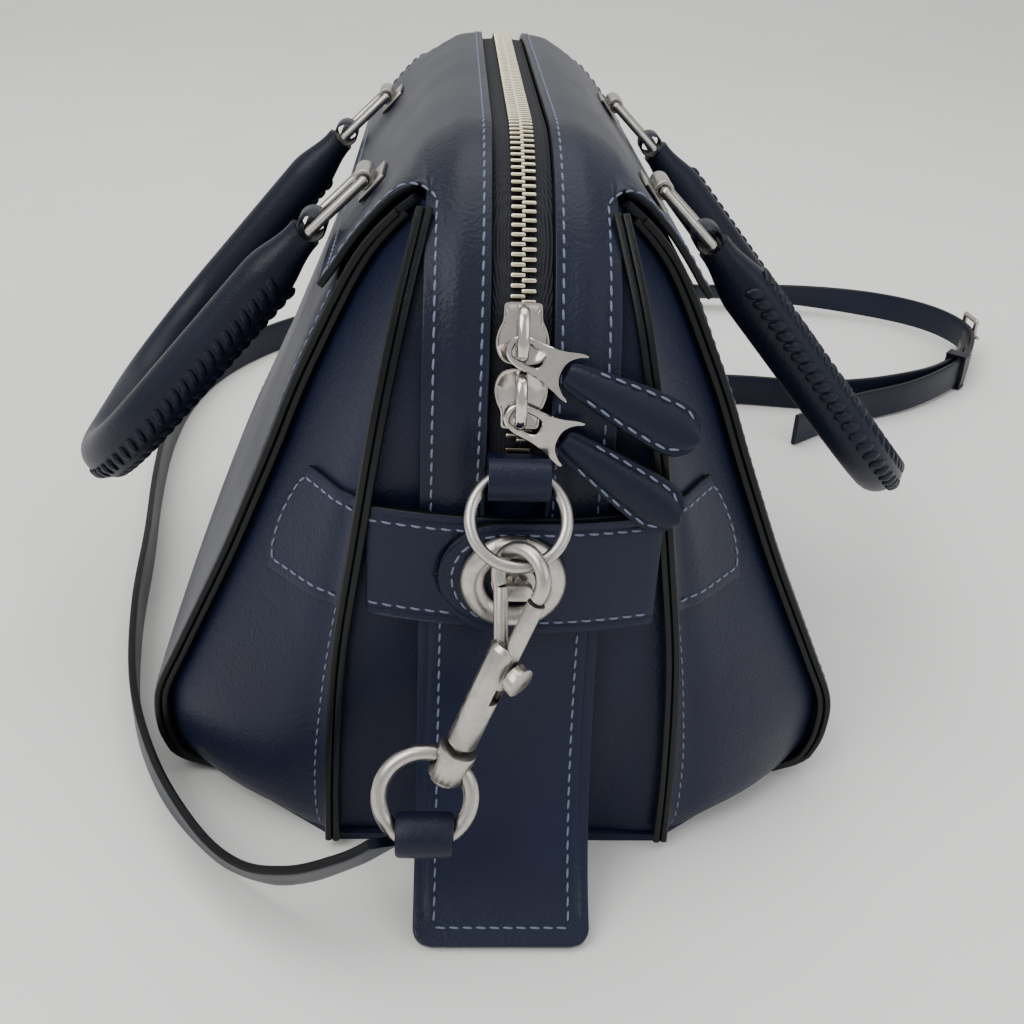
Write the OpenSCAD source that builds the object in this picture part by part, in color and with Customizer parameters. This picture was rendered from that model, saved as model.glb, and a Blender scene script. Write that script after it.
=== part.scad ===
// Leather satchel with a two-slider zip, turnlock side bands, rolled handles and a clip-on strap.
// X runs along the bag, Y front to back, Z up. The origin is the middle of the base, on the table.
// Left is the -X end, right the +X end, front the -Y side and back the +Y side.

/* [Bag body] */
// Distance between the two outer end walls
body_len = 322; // [316:1:330]
// Height of the zip above the table
body_h = 232; // [228:1:236]
// Radius of the rounded top corners, seen from the side
shoulder_r = 76; // [74:1:80]
// Thickness of the outer leather
leather = 2.2; // [1.8:0.1:2.6]
// Half width of the end strips and of the end tabs
strip_half = 28; // [26:0.5:30]
// Height of the side bands above the table
band_z = 97; // [92:1:100]
// Width of the side bands
band_w = 38; // [34:1:40]

/* [Hardware] */
// Mean radius of the two upper rings
ring_r = 13.5; // [13:0.1:14]
// Wire radius of the two upper rings
ring_wire = 1.8; // [1.5:0.1:2]
// Mean radius of the two lower rings
lower_r = 13.8; // [13.5:0.1:14]
// Wire radius of the two lower rings
lower_wire = 2.5; // [2.3:0.1:2.6]
// Outer radius of the turnlock dome
dome_r = 15.8; // [14:0.1:17]
// Distance between the two rings that a clip joins
clip_len = 70; // [69:0.5:71]

/* [Handles and strap] */
// Half distance between the feet of a handle
handle_half = 70; // [65:1:75]
// Distance from a handle's pivot to the middle of its grip
handle_drop = 138; // [125:1:150]
// Radius of the rolled handle
handle_r = 8.5; // [7.5:0.1:9]
// Width of the shoulder strap
strap_w = 19; // [17:0.5:20]
// Thickness of the shoulder strap
strap_t = 3; // [2.4:0.1:3.4]

/* [Hidden] */

navy = [0.16, 0.18, 0.25];
navy_top = [0.22, 0.24, 0.31];
nickel = [0.72, 0.69, 0.63];
lining_blue = [0.3, 0.33, 0.42];

gap = 0.3;                      // clearance between neighbouring pieces
end_x = body_len / 2;
arc_x = end_x - shoulder_r;     // centre of each rounded top corner
arc_z = body_h - shoulder_r;
tape_half = 8.5;                // the strips and yokes leave this much of the zip bare
teeth_half = 3.5;
front_x = 122;                  // where the front and back panels end
base_z = 3;

// Half widths and heights of the seam between the centre compartment and the pockets
RIDGE = [[57, 3.5], [56, 38], [53, 80], [47, 120], [41, 156], [34, 190], [30, 206]];
// The same for the outer surface of the front and back panels
PANEL = [[105, 3.3], [117, 8], [122, 20], [122.5, 37], [104, 76], [86, 116], [70, 155], [54, 189]];
// The same for a yoke, from the zip down over the crest
YOKE = [[8.8, 231.5], [20, 229], [30, 223], [44, 207], [60, 188]];
// Side view of an end tab, from the band down to the table, measured outwards from the wall
TAB = [[1, 96.5], [5, 70], [13, 42], [27, 18], [46, 3.2]];

function unit(v) = v / norm(v);
function left_of(a, b) = unit([a[1] - b[1], b[0] - a[0]]);
function corner(p, i) = unit(left_of(p[max(i - 1, 0)], p[max(i, 1)])
    + left_of(p[min(i, len(p) - 2)], p[min(i + 1, len(p) - 1)]));
function beside(p, t) = [for (i = [0:len(p) - 1]) p[i] + t * corner(p, i)];
function flip(p) = [for (i = [len(p) - 1:-1:0]) p[i]];
// A band of thickness t on the left of an open outline
function sheet(p, t) = concat(p, flip(beside(p, t)));

// Extrude an outline drawn in Y and Z along the bag
module along_x(length) rotate([90, 0, 90]) linear_extrude(length, center = true) children();
// Extrude an outline drawn in X and Z across the bag
module along_y(width) rotate([90, 0, 0]) linear_extrude(width, center = true) children();
// Copy to the back: the front is the mirror image
module to_front() mirror([0, 1, 0]) children();
// The right end is the left end turned half round
module to_right() rotate([0, 0, 180]) children();

// Side view of the bag, d below the outer surface and cut off at height z0
module side_view(d, z0) {
    translate([-end_x + d, z0]) square([2 * (end_x - d), arc_z - z0]);
    translate([-arc_x, z0]) square([2 * arc_x, body_h - d - z0]);
    for (s = [-1, 1]) translate([s * arc_x, arc_z]) circle(r = shoulder_r - d, $fn = 96);
}

// A skin of thickness t that follows the side view between depths d and d + t
module wrap(d, t, width, z0) difference() {
    along_y(width) side_view(d, z0);
    along_y(width + 1) side_view(d + t, z0 - 1);
}

// The cross-section of the centre compartment, set in by d from the ridge seam
module centre_section(d, z0) polygon(concat(
    [for (p = flip(RIDGE)) [-p[0] + d, max(p[1], z0)]],
    [for (p = RIDGE) [p[0] - d, max(p[1], z0)]]));

module base_panel() color(navy) linear_extrude(base_z) polygon([
    [-end_x + 3, -56], [-front_x, -104], [front_x, -104], [end_x - 3, -56],
    [end_x - 3, 56], [front_x, 104], [-front_x, 104], [-end_x + 3, 56]]);

module base_board() color("dimgray") translate([-end_x + 9, -52, base_z + gap])
    cube([body_len - 18, 104, 1.8]);

module lining() color(lining_blue) difference() {
    intersection() {
        along_x(body_len) centre_section(2.6, 6);
        along_y(2 * end_x) side_view(6.2, 6);
    }
    intersection() {
        along_x(body_len) centre_section(3.6, 7);
        along_y(2 * end_x) side_view(7.2, 7);
    }
    translate([-end_x, -tape_half - 1, arc_z - 8]) cube([body_len, 2 * tape_half + 2, body_h]);
}

module back_panel() color(navy) along_x(2 * front_x - 1) polygon(sheet(PANEL, leather));
module front_panel() to_front() back_panel();

module back_yoke() color(navy_top) along_x(198) polygon(sheet(YOKE, -leather));
module front_yoke() to_front() back_yoke();

module back_centre_wall() color(navy) intersection() {
    along_x(body_len) polygon(sheet(RIDGE, 1.8));
    along_y(2 * end_x) side_view(7.3, 0);
}
module front_centre_wall() to_front() back_centre_wall();

module left_inner_gusset() color(navy) difference() {
    intersection() {
        along_x(body_len) centre_section(1, 3.4);
        wrap(3.6, 1.8, 2 * end_x, 3.4);
        translate([-end_x, -end_x, 0]) cube([60, 2 * end_x, 216]);
    }
    translate([-end_x, -tape_half, arc_z - 8]) cube([80, 2 * tape_half, body_h]);
}
module right_inner_gusset() to_right() left_inner_gusset();

RIDGE_X = [-160.5, -160.5, -160.5, -160, -158.5, -149.5, -138];
WING = [[105, 3.3], [122.3, 37], [104, 76], [86, 116], [70, 155], [54, 189], [42, 203]];

module left_back_gusset() color(navy) gusset_skin(
    [for (i = [0:6]) [RIDGE_X[i], RIDGE[i][0] + 0.6, RIDGE[i][1]]],
    [for (p = WING) [-front_x - 1, p[0], p[1]]], [1.4, -1.2, 0]);
module left_front_gusset() to_front() left_back_gusset();
module right_front_gusset() to_right() left_back_gusset();
module right_back_gusset() to_right() left_front_gusset();

// A skin between two seams a and b, with its inner face moved by v
module gusset_skin(a, b, v) {
    n = len(a);
    pts = concat(a, b, [for (p = a) p + v], [for (p = b) p + v]);
    side = [for (i = [0:n - 2]) each [
        [i, n + i, n + i + 1], [i, n + i + 1, i + 1],
        [2 * n + i, 3 * n + i + 1, 3 * n + i], [2 * n + i, 2 * n + i + 1, 3 * n + i + 1],
        [i, i + 1, 2 * n + i + 1, 2 * n + i],
        [n + i, 3 * n + i, 3 * n + i + 1, n + i + 1]]];
    ends = [[0, 2 * n, 3 * n, n], [n - 1, 2 * n - 1, 4 * n - 1, 3 * n - 1]];
    polyhedron(pts, concat(side, ends));
}

// Strips beside the zip on an end wall, down to behind the band
module left_zip_strips() color(navy) intersection() {
    wrap(0, leather, 2 * strip_half, band_z + 1);
    for (s = [0, 1]) mirror([0, s, 0]) translate([-end_x, tape_half + gap, band_z + 1])
        cube([61, strip_half - tape_half - gap, body_h]);
}
module right_zip_strips() to_right() left_zip_strips();

// Both halves of something that follows the zip, from y0 to y1 off its middle
module zip_halves(d, t, y0, y1, z0) intersection() {
    wrap(d, t, 2 * y1, z0);
    for (s = [0, 1]) mirror([0, s, 0]) translate([-end_x, y0, z0]) cube([body_len, y1 - y0, body_h]);
}
module zip_tape() color(navy) zip_halves(leather + gap, 0.8, 0.15, tape_half - 0.6, arc_z - 7);
module zip_teeth() color(nickel) zip_halves(gap, 2, 0.15, teeth_half, arc_z - 1);
module zip_stops() color(nickel) for (s = [0, 1]) mirror([s, 0, 0])
    translate([-end_x + gap, -teeth_half, arc_z - 5.5]) cube([2, 2 * teeth_half, 4]);

module left_end_tab() color(navy) along_y(2 * strip_half)
    polygon(sheet([for (p = TAB) [-end_x - p[0], p[1]]], 2.6));
module right_end_tab() to_right() left_end_tab();

// Side band: bowed outwards over the strips and held by the turnlock
band_x = -end_x - 6.5;
band_bow = 150;
module bowed(r, t) translate([band_x + band_bow, 0, 0]) difference() {
    cylinder(r = r, h = band_w, $fn = 128);
    translate([0, 0, -1]) cylinder(r = r - t, h = band_w + 2, $fn = 128);
}
module left_band() color(navy) intersection() {
    translate([0, 0, band_z]) bowed(band_bow, leather);
    translate([-end_x - 12, -44, band_z]) cube([20, 88, band_w]);
}
module right_band() to_right() left_band();
module left_band_flap() color(navy) intersection() {
    translate([0, 0, band_z]) bowed(band_bow + gap + 2.4, 2.4);
    union() {
        translate([-end_x - 12, -44, band_z]) cube([20, 47, band_w]);
        translate([-end_x - 12, 3, lock_z]) rotate([0, 90, 0])
            cylinder(r = band_w / 2, h = 20, $fn = 96);
    }
}
module right_band_flap() to_right() left_band_flap();

// Point on an outer gusset at height z, a fraction f of the way from the ridge to the wing seam
function seam_y(seam, z) = lookup(z, [for (p = seam) [p[1], p[0]]]);
function on_gusset(z, f) = [-160.5 + f * (160.5 - front_x - 0.8),
    seam_y(RIDGE, z) + f * (seam_y(WING, z) - seam_y(RIDGE, z)), z];
module gusset_patches() color(navy) for (e = [0, 1], s = [0, 1])
    rotate([0, 0, 180 * e]) mirror([0, s, 0]) translate([-1.2, 1.1, 0]) gusset_skin(
        [for (z = [band_z, 116, 120, band_z + band_w]) on_gusset(z, 0.14)],
        [for (z = [band_z, 116, 120, band_z + band_w]) on_gusset(z, 0.76)], [-1, 1, 0]);

// Turnlock: a domed ring on the flap, and a knob that turns in it
lock_z = band_z + band_w / 2;
lock_x = band_x - gap - 2.4 - 0.3;
module left_lock_frame() translate([lock_x, 0, lock_z]) rotate([0, -90, 0]) children();
module lock_plate() left_lock_frame() rotate_extrude($fn = 96) intersection() {
    translate([dome_r - 3.8, 0]) circle(r = 3.8, $fn = 48);
    square([dome_r, 4]);
}
module turnlock_plates() color(nickel) {
    lock_plate();
    to_right() lock_plate();
}
module left_turn_knob() color(nickel) left_lock_frame() {
    cylinder(r = 2.6, h = 5, $fn = 48);
    translate([0, 0, 3.8]) linear_extrude(3.4) {
        square([5, 6], center = true);
        for (s = [-1, 1]) translate([0, 3 * s]) circle(r = 2.5, $fn = 48);
    }
    cylinder(r = 6.5, h = 1.2, $fn = 48);
}
module right_turn_knob() to_right() left_turn_knob();

// Leather loop that holds the upper ring
tab_pivot = [-end_x - 10, 0, 152.5];
ring_lean = 39;                 // the upper ring leans out from the wall by this angle
ring_dir = [-sin(ring_lean), 0, -cos(ring_lean)];
ring_tab_drop = 2.4;            // the middle of the loop hangs this far below the ring's pivot
module ring_tab() difference() {
    union() {
        translate(tab_pivot + ring_tab_drop * ring_dir) rotate([90, 0, 0])
            cylinder(r = 6, h = 17, center = true, $fn = 64);
        translate([-end_x - 6.5, -8.5, 147]) cube([6.2, 17, 4.4]);
    }
    translate(tab_pivot + ring_tab_drop * ring_dir) rotate([90, 0, 0])
        cylinder(r = 4.4, h = 19, center = true, $fn = 64);
}
module ring_tabs() color(navy) {
    ring_tab();
    to_right() ring_tab();
}
module o_ring(r, wire) rotate_extrude($fn = 96) translate([r, 0]) circle(r = wire, $fn = 32);
module left_upper_ring() color(nickel) translate(tab_pivot + ring_r * ring_dir)
    rotate([0, ring_lean - 90, 0]) o_ring(ring_r, ring_wire);
module right_upper_ring() to_right() left_upper_ring();

// Spring clip. Its own frame has the swivel at the origin and the hook up along Z
clip_tilt = 19;
clip_foot = [-192.2, 16.6, 65.9];
bolt_x = 2.4;
hook_r = 8;
hook_wire = 2.1;
hook_z = clip_len - 5;
module clip_frame() translate(clip_foot) rotate([clip_tilt, 0, 0]) rotate([0, 0, 225]) children();
module rod(a, b, r) translate(a) rotate([0, acos((b - a)[2] / norm(b - a)),
    atan2((b - a)[1], (b - a)[0])]) cylinder(r = r, h = norm(b - a), $fn = 32);
module left_clip_hook() color(nickel) clip_frame() difference() {
    union() {
        translate([0, 0, 8]) cylinder(r = 4.6, h = 36, $fn = 64);
        translate([bolt_x - hook_r, 0, hook_z]) rotate([90, 15, 0])
            rotate_extrude(angle = 250, $fn = 96) translate([hook_r, 0]) circle(r = hook_wire, $fn = 32);
        translate(hook_heel) sphere(r = hook_wire, $fn = 32);
        rod(hook_heel, [-1.9, 0, 43], hook_wire);
        translate([0, 0, 43.9]) cylinder(r1 = 4.6, r2 = 3.6, h = 1.6, $fn = 64);
    }
    translate([bolt_x, 0, 26]) cylinder(r = 2.75, h = 30, $fn = 48);
}
hook_heel = [bolt_x - hook_r + hook_r * cos(235), 0, hook_z + hook_r * sin(235)];
module right_clip_hook() to_right() left_clip_hook();
module left_clip_bolt() color(nickel) clip_frame() {
    translate([bolt_x, 0, 32]) cylinder(r = 2.6, h = hook_z - 3.3 - 32, $fn = 48);
    translate([bolt_x, 0, 38]) rotate([0, 90, 0]) cylinder(r = 1.5, h = 5, $fn = 32);
    translate([6, 0, 38]) rotate([0, 90, 0]) cylinder(r = 4.6, h = 3, $fn = 64);
}
module right_clip_bolt() to_right() left_clip_bolt();

// Lower ring: it hangs in the swivel and carries the end of the strap
lower_lean = 23;
lower_centre = clip_foot + [-4.4, 8, -10.35];
lower_down = [-sin(lower_lean), 0, -cos(lower_lean)];
module left_clip_swivel() color(nickel) difference() {
    clip_frame() {
        translate([0, 0, -5.2]) cylinder(r = 6, h = 10.6, $fn = 64);
        translate([0, 0, 5]) cylinder(r = 2, h = 2.8, $fn = 32);
        translate([0, 0, -5.8]) cylinder(r = 2, h = 1, $fn = 32);
        translate([0, 0, -7.4]) cylinder(r = 4.5, h = 1.7, $fn = 48);
    }
    translate(clip_foot + [-0.26, 0.46, -0.6]) rotate([0, acos(0.532), atan2(0.812, 0.225)])
        cylinder(r = 3.6, h = 18, center = true, $fn = 48);
}
module right_clip_swivel() to_right() left_clip_swivel();
module left_lower_ring() color(nickel) translate(lower_centre)
    rotate([0, lower_lean - 90, 0]) o_ring(lower_r, lower_wire);
module right_lower_ring() to_right() left_lower_ring();
module left_strap_loop() color(navy) translate(lower_centre + (lower_r - 2.1) * lower_down)
    rotate([90, 0, 0]) difference() {
        cylinder(r = 6.9, h = strap_w - 1.4, center = true, $fn = 64);
        cylinder(r = 4.8, h = strap_w, center = true, $fn = 64);
    }
module right_strap_loop() to_right() left_strap_loop();

// The strap lies on its edge round the bag. Each route point is [x, y, z, turn]
LONG_ROUTE = [[-201, 36.6, 41.5, -45], [-200, 48, 33, -45], [-196, 64, 23, -42], [-187, 80, 15, -35],
    [-170, 98, 11, -20], [-138, 120, 10, -6], [-95, 138, 10, 0], [-40, 150, 10, 0],
    [20, 158, 10, 0], [80, 167, 10, 0], [140, 173, 10, 0], [195, 172, 10, 0],
    [245, 160, 10, 0], [292, 132, 10, 0], [330, 90, 10, 0], [360, 35, 10, 0],
    [382, -35, 10, 8], [394, -110, 11, 25], [399, -180, 13, 45], [396, -245, 13, 25],
    [378, -300, 13, 0], [348, -331, 14, 0], [310, -341, 14, 0], [272, -327, 12, 0],
    [243, -303, 12, 0], [216, -268, 11, 0], [194, -224, 10, 0], [164, -184, 10, 0]];
SHORT_ROUTE = [[201, -38, 43, 0], [203, -52, 34, 0], [208, -70, 24, 0], [216, -96, 15, 0],
    [222, -130, 10.5, 0], [221, -168, 10, 0], [217, -205, 10, 0], [219, -238, 11, 0],
    [230, -272, 12, 0], [246.8, -298.8, 12, 0], [273.8, -322.4, 12, 0], [302, -334, 14, 0]];

function spline(a, b, c, d, t) = 0.5 * ((2 * b) + (c - a) * t
    + (2 * a - 5 * b + 4 * c - d) * t * t + (3 * b - a - 3 * c + d) * t * t * t);
function smooth(p, n) = concat([for (i = [0:len(p) - 2], k = [0:n - 1])
    spline(p[max(i - 1, 0)], p[i], p[i + 1], p[min(i + 2, len(p) - 1)], k / n)], [p[len(p) - 1]]);
function xyz(p) = [p[0], p[1], p[2]];
function heading(p, i) = unit(xyz(p[min(i + 1, len(p) - 1)]) - xyz(p[max(i - 1, 0)]));
// Corners of the strap's section, as fractions of its half width and half thickness
STRAP_SECTION = [[1, 0.5], [0.96, 1], [-0.96, 1], [-1, 0.5], [-1, -0.5], [-0.96, -1], [0.96, -1],
    [1, -0.5]];
function strap_ring(p, i) = let (t = heading(p, i), side = unit(cross(t, [0, 0, 1])),
    up = cross(side, t), w = up * cos(p[i][3]) + side * sin(p[i][3]), n = cross(t, w))
    [for (c = STRAP_SECTION) xyz(p[i]) + w * c[0] * strap_w / 2 + n * c[1] * strap_t / 2];
module strap(route, n) {
    path = smooth(route, n);
    rings = [for (i = [0:len(path) - 1]) strap_ring(path, i)];
    m = len(STRAP_SECTION);
    last = (len(path) - 1) * m;
    sides = [for (i = [0:len(path) - 2], k = [0:m - 1]) let (a = i * m + k, b = i * m + (k + 1) % m)
        each [[a, b, b + m], [a, b + m, a + m]]];
    polyhedron([for (r = rings) each r], concat(sides,
        [[for (k = [m - 1:-1:0]) k]], [[for (k = [0:m - 1]) last + k]]));
}
module strap_long() color(navy) strap(LONG_ROUTE, 2);
module strap_short() color(navy) strap(SHORT_ROUTE, 2);

module strap_keeper() color(navy) translate([259, -314.3, 12.2]) rotate([0, 0, -39.6])
    difference() {
        cube([9, 13, 24], center = true);
        cube([10, 10.4, 21.2], center = true);
    }
module buckle_place() translate([321, -345.8, 14.2]) rotate([0, 0, 5]) children();
module buckle_frame() color(nickel) buckle_place() {
    for (x = [-8, 8]) translate([x, 0, 0]) cylinder(r = 1.7, h = 24, center = true, $fn = 32);
    for (z = [-12, 12]) translate([0, 0, z]) rotate([0, 90, 0])
        cylinder(r = 1.7, h = 16, center = true, $fn = 32);
    for (x = [-8, 8], z = [-12, 12]) translate([x, 0, z]) sphere(r = 1.7, $fn = 32);
}
module buckle_prong() color(nickel) buckle_place() difference() {
    union() {
        translate([8, 0, 0]) cylinder(r = 3, h = 5, center = true, $fn = 48);
        translate([-9.5, -3.2, 0]) rotate([0, 90, 0]) cylinder(r = 1.2, h = 17, $fn = 32);
    }
    translate([8, 0, 0]) cylinder(r = 1.75, h = 6, center = true, $fn = 48);
}

// Zip sliders ride round the top corner of the left end. In this frame -X is outwards, Z uphill
UPPER_AT = 24.4;
LOWER_AT = 10.8;
SLIDER = [[-4.9, -8], [4.9, -8], [5.3, -2], [7, 2.5], [7, 5.5], [5, 7.6], [-5, 7.6], [-7, 5.5],
    [-7, 2.5], [-5.3, -2]];
module on_corner(a) translate([-arc_x, 0, arc_z]) rotate([0, a, 0]) children();
module slider(wide_end) {
    intersection() {
        along_y(20) difference() {
            circle(r = shoulder_r + 1.8, $fn = 128);
            circle(r = shoulder_r + 0.2, $fn = 128);
        }
        translate([-shoulder_r, 0, 0]) scale([1, 1, wide_end]) along_x(20) polygon(SLIDER);
    }
    for (s = [-1, 1]) translate([-shoulder_r - 0.9, s * 4.3 - 0.4, -6]) cube([2.6, 0.8, 12]);
    for (z = [-5.2, 4.4]) translate([-shoulder_r - 5.6, -1.5, z - 1.1]) cube([4.6, 3, 2.2]);
    translate([-shoulder_r - 7, -1.5, -6.3]) cube([1.6, 3, 11.8]);
}
module upper_slider() color(nickel) on_corner(UPPER_AT) slider(-1);
module lower_slider() color(nickel) on_corner(LOWER_AT) slider(1);

// The pullers hang to the right. In this frame X points along the puller and Z outwards
pull_turn = 65;
module puller_frame(a) on_corner(a) translate([-shoulder_r - 3.4, 3.44, -3.6])
    rotate([0, -90, 0]) rotate([0, 0, -180 + pull_turn]) children();
module puller() translate([0, 0, -0.75]) linear_extrude(1.5) difference() {
    union() {
        circle(r = 5.6, $fn = 48);
        translate([0, -5.6]) square([10, 11.2]);
        polygon([[10, -5.6], [18, -5.8], [18, 6.6], [10, 5.6]]);
    }
    translate([1.6, -3.4]) square([6.4, 6.8]);
    translate([-10, -10]) square([8.4, 20]);
    translate([18, 0]) circle(r = 3.6, $fn = 48);
}
PULL = [[0, -4.6], [26, -7.4], [34, -6.4], [38.5, -3], [38.5, 3], [34, 6.4], [26, 7.4], [0, 4.6]];
module leather_pull() translate([18.5, 0, -2.1]) linear_extrude(4.2) polygon(PULL);
module upper_puller() color(nickel) puller_frame(UPPER_AT) puller();
module lower_puller() color(nickel) puller_frame(LOWER_AT) puller();
module upper_pull() color(navy) puller_frame(UPPER_AT) leather_pull();
module lower_pull() color(navy) puller_frame(LOWER_AT) leather_pull();

// Handle hardware. The links turn in the anchors, and the handle turns on the links
ANCHOR = [49, 208];
link_len = 24;
PIVOT = ANCHOR + link_len * [0.72, -0.694];
yoke_slope = 49.5;
handle_slope = 49.2;            // how far below level the resting handle points
link_r = 1.7;
bore_r = link_r + 0.05;
module handle_anchors() color(nickel) for (x = [-1, 1], s = [0, 1])
    mirror([0, s, 0]) translate([x * handle_half, ANCHOR[0], ANCHOR[1]])
        rotate([-yoke_slope, 0, 0]) difference() {
            union() {
                rotate([0, 90, 0]) cylinder(r = 3.2, h = 14, center = true, $fn = 64);
                translate([-9, -6, -4]) cube([18, 12, 1.3]);
            }
            rotate([0, 90, 0]) cylinder(r = bore_r, h = 15, center = true, $fn = 64);
        }
module link() {
    span = 9.4;
    link_turn = atan2(PIVOT[1] - ANCHOR[1], PIVOT[0] - ANCHOR[0]);
    translate([0, ANCHOR[0], ANCHOR[1]]) rotate([link_turn, 0, 0]) {
        for (y = [0, link_len]) translate([0, y, 0]) rotate([0, 90, 0])
            cylinder(r = link_r, h = 2 * span, center = true, $fn = 48);
        for (x = [-span, span]) translate([x, 0, 0]) rotate([-90, 0, 0])
            cylinder(r = link_r, h = link_len, $fn = 48);
        for (x = [-span, span], y = [0, link_len]) translate([x, y, 0]) sphere(r = link_r, $fn = 48);
    }
}
module back_handle_links() color(nickel) for (x = [-1, 1]) translate([x * handle_half, 0, 0]) link();
module front_handle_links() to_front() back_handle_links();

// Rolled handle, drawn with X along the bag and Y away from the pivot
grip_r = 50;
module back_handle() color(navy) translate([0, PIVOT[0], PIVOT[1]]) rotate([-handle_slope, 0, 0]) {
    leg = handle_drop - grip_r;
    for (x = [-1, 1]) difference() {
        union() {
            translate([x * handle_half, 9, 0]) rotate([-90, 0, 0])
                cylinder(r = handle_r, h = leg - 9, $fn = 64);
            translate([x * handle_half, 9, 0]) sphere(r = handle_r, $fn = 64);
            translate([x * handle_half, 0, 0]) rotate([0, 90, 0])
                cylinder(r = 4.4, h = 13, center = true, $fn = 64);
        }
        translate([x * handle_half, 0, 0]) rotate([0, 90, 0])
            cylinder(r = bore_r, h = 30, center = true, $fn = 64);
    }
    for (s = [0, 1]) mirror([s, 0, 0]) translate([handle_half - grip_r, leg, 0])
        rotate_extrude(angle = 90, $fn = 96) translate([grip_r, 0]) circle(r = handle_r, $fn = 64);
    translate([0, handle_drop, 0]) rotate([0, 90, 0])
        cylinder(r = handle_r, h = 2 * (handle_half - grip_r), center = true, $fn = 64);
}
module front_handle() to_front() back_handle();

base_panel();
base_board();
lining();
front_panel();
back_panel();
front_yoke();
back_yoke();
front_centre_wall();
back_centre_wall();
left_inner_gusset();
right_inner_gusset();
left_front_gusset();
left_back_gusset();
right_front_gusset();
right_back_gusset();
left_zip_strips();
right_zip_strips();
zip_tape();
zip_teeth();
zip_stops();
left_end_tab();
right_end_tab();
left_band();
right_band();
left_band_flap();
right_band_flap();
gusset_patches();
turnlock_plates();
left_turn_knob();
right_turn_knob();
ring_tabs();
left_upper_ring();
right_upper_ring();
left_clip_hook();
right_clip_hook();
left_clip_bolt();
right_clip_bolt();
left_clip_swivel();
right_clip_swivel();
left_lower_ring();
right_lower_ring();
left_strap_loop();
right_strap_loop();
strap_long();
strap_short();
strap_keeper();
buckle_frame();
buckle_prong();
upper_slider();
lower_slider();
upper_puller();
lower_puller();
upper_pull();
lower_pull();
front_handle();
back_handle();
handle_anchors();
front_handle_links();
back_handle_links();
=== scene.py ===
"""Looks of the leather satchel: soft leather pieces, stitching, zip, hardware finishes and the lying strap."""
import logging
import math
from dataclasses import dataclass, field
from enum import Enum
from typing import Callable, Sequence

import bpy
import bmesh
from mathutils import Matrix, Vector


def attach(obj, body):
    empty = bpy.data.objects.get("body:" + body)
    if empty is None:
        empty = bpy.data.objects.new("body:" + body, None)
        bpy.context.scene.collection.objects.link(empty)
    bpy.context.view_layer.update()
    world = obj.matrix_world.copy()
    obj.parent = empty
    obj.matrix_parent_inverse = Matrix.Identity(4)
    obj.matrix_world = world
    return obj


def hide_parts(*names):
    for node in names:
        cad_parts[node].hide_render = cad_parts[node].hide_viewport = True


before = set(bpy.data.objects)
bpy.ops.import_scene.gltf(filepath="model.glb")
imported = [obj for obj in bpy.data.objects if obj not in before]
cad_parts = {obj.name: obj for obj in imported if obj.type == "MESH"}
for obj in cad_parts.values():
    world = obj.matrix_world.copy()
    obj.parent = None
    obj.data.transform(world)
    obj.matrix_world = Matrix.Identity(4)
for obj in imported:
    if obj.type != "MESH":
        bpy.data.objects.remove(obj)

log = logging.getLogger("satchel")
MM = 0.001
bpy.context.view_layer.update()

Flip = tuple[int, int]
ENDS: dict[str, Flip] = {"left": (1, 1), "right": (-1, -1)}
SIDES: dict[str, Flip] = {"back": (1, 1), "front": (1, -1)}
QUARTERS: dict[str, Flip] = {"left_back": (1, 1), "left_front": (1, -1),
                             "right_front": (-1, -1), "right_back": (-1, 1)}


class Look(Enum):
    """The finishes used on the bag."""

    LEATHER = "leather"
    TOP = "leather_top"
    HANDLE = "handle_leather"
    STRAP = "strap_leather"
    EDGE = "edge_paint"
    THREAD = "thread"
    TAPE = "zip_fabric"
    TEETH = "zip_metal"
    NICKEL = "nickel"
    SLIDER = "slider_metal"
    LINING = "lining"
    BOARD = "board"


# ---------------------------------------------------------------- geometry helpers

def smooth(x: float) -> float:
    """Ease a value from 0 to 1.

    Args:
        x: any value; it is clamped to 0..1.
    Returns:
        The eased value.
    """
    x = min(max(x, 0.0), 1.0)
    return x * x * (3 - 2 * x)


def lookup(table: Sequence[tuple[float, float]], x: float) -> float:
    """Read a value from a table of (x, value) pairs in rising x.

    Args:
        table: the pairs.
        x: where to read.
    Returns:
        The value, with a straight line between the pairs.
    """
    if x <= table[0][0]:
        return table[0][1]
    for (a, va), (b, vb) in zip(table, table[1:]):
        if x <= b:
            return va + (vb - va) * (x - a) / (b - a)
    return table[-1][1]


def spline(points: Sequence[Vector], n: int) -> list[Vector]:
    """Draw a smooth curve through points.

    Args:
        points: the points.
        n: samples for each span.
    Returns:
        The samples, ends included.
    """
    out: list[Vector] = []
    last = len(points) - 1
    for i in range(last):
        a, b = points[max(i - 1, 0)], points[i]
        c, d = points[i + 1], points[min(i + 2, last)]
        for k in range(n):
            t = k / n
            out.append(0.5 * ((2 * b) + (c - a) * t + (2 * a - 5 * b + 4 * c - d) * t * t
                              + (3 * b - a - 3 * c + d) * t ** 3))
    out.append(points[-1].copy())
    return out


def evenly(points: Sequence[Vector], step: float) -> list[Vector]:
    """Space samples evenly along a line.

    Args:
        points: the line.
        step: wanted spacing, in mm.
    Returns:
        The samples, ends included.
    """
    run = [0.0]
    for a, b in zip(points, points[1:]):
        run.append(run[-1] + (b - a).length)
    count = max(int(round(run[-1] / step)), 1)
    out, i = [], 0
    for k in range(count + 1):
        s = run[-1] * k / count
        while i < len(run) - 2 and run[i + 1] < s:
            i += 1
        span = run[i + 1] - run[i] or 1.0
        out.append(points[i].lerp(points[i + 1], (s - run[i]) / span))
    return out


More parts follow.
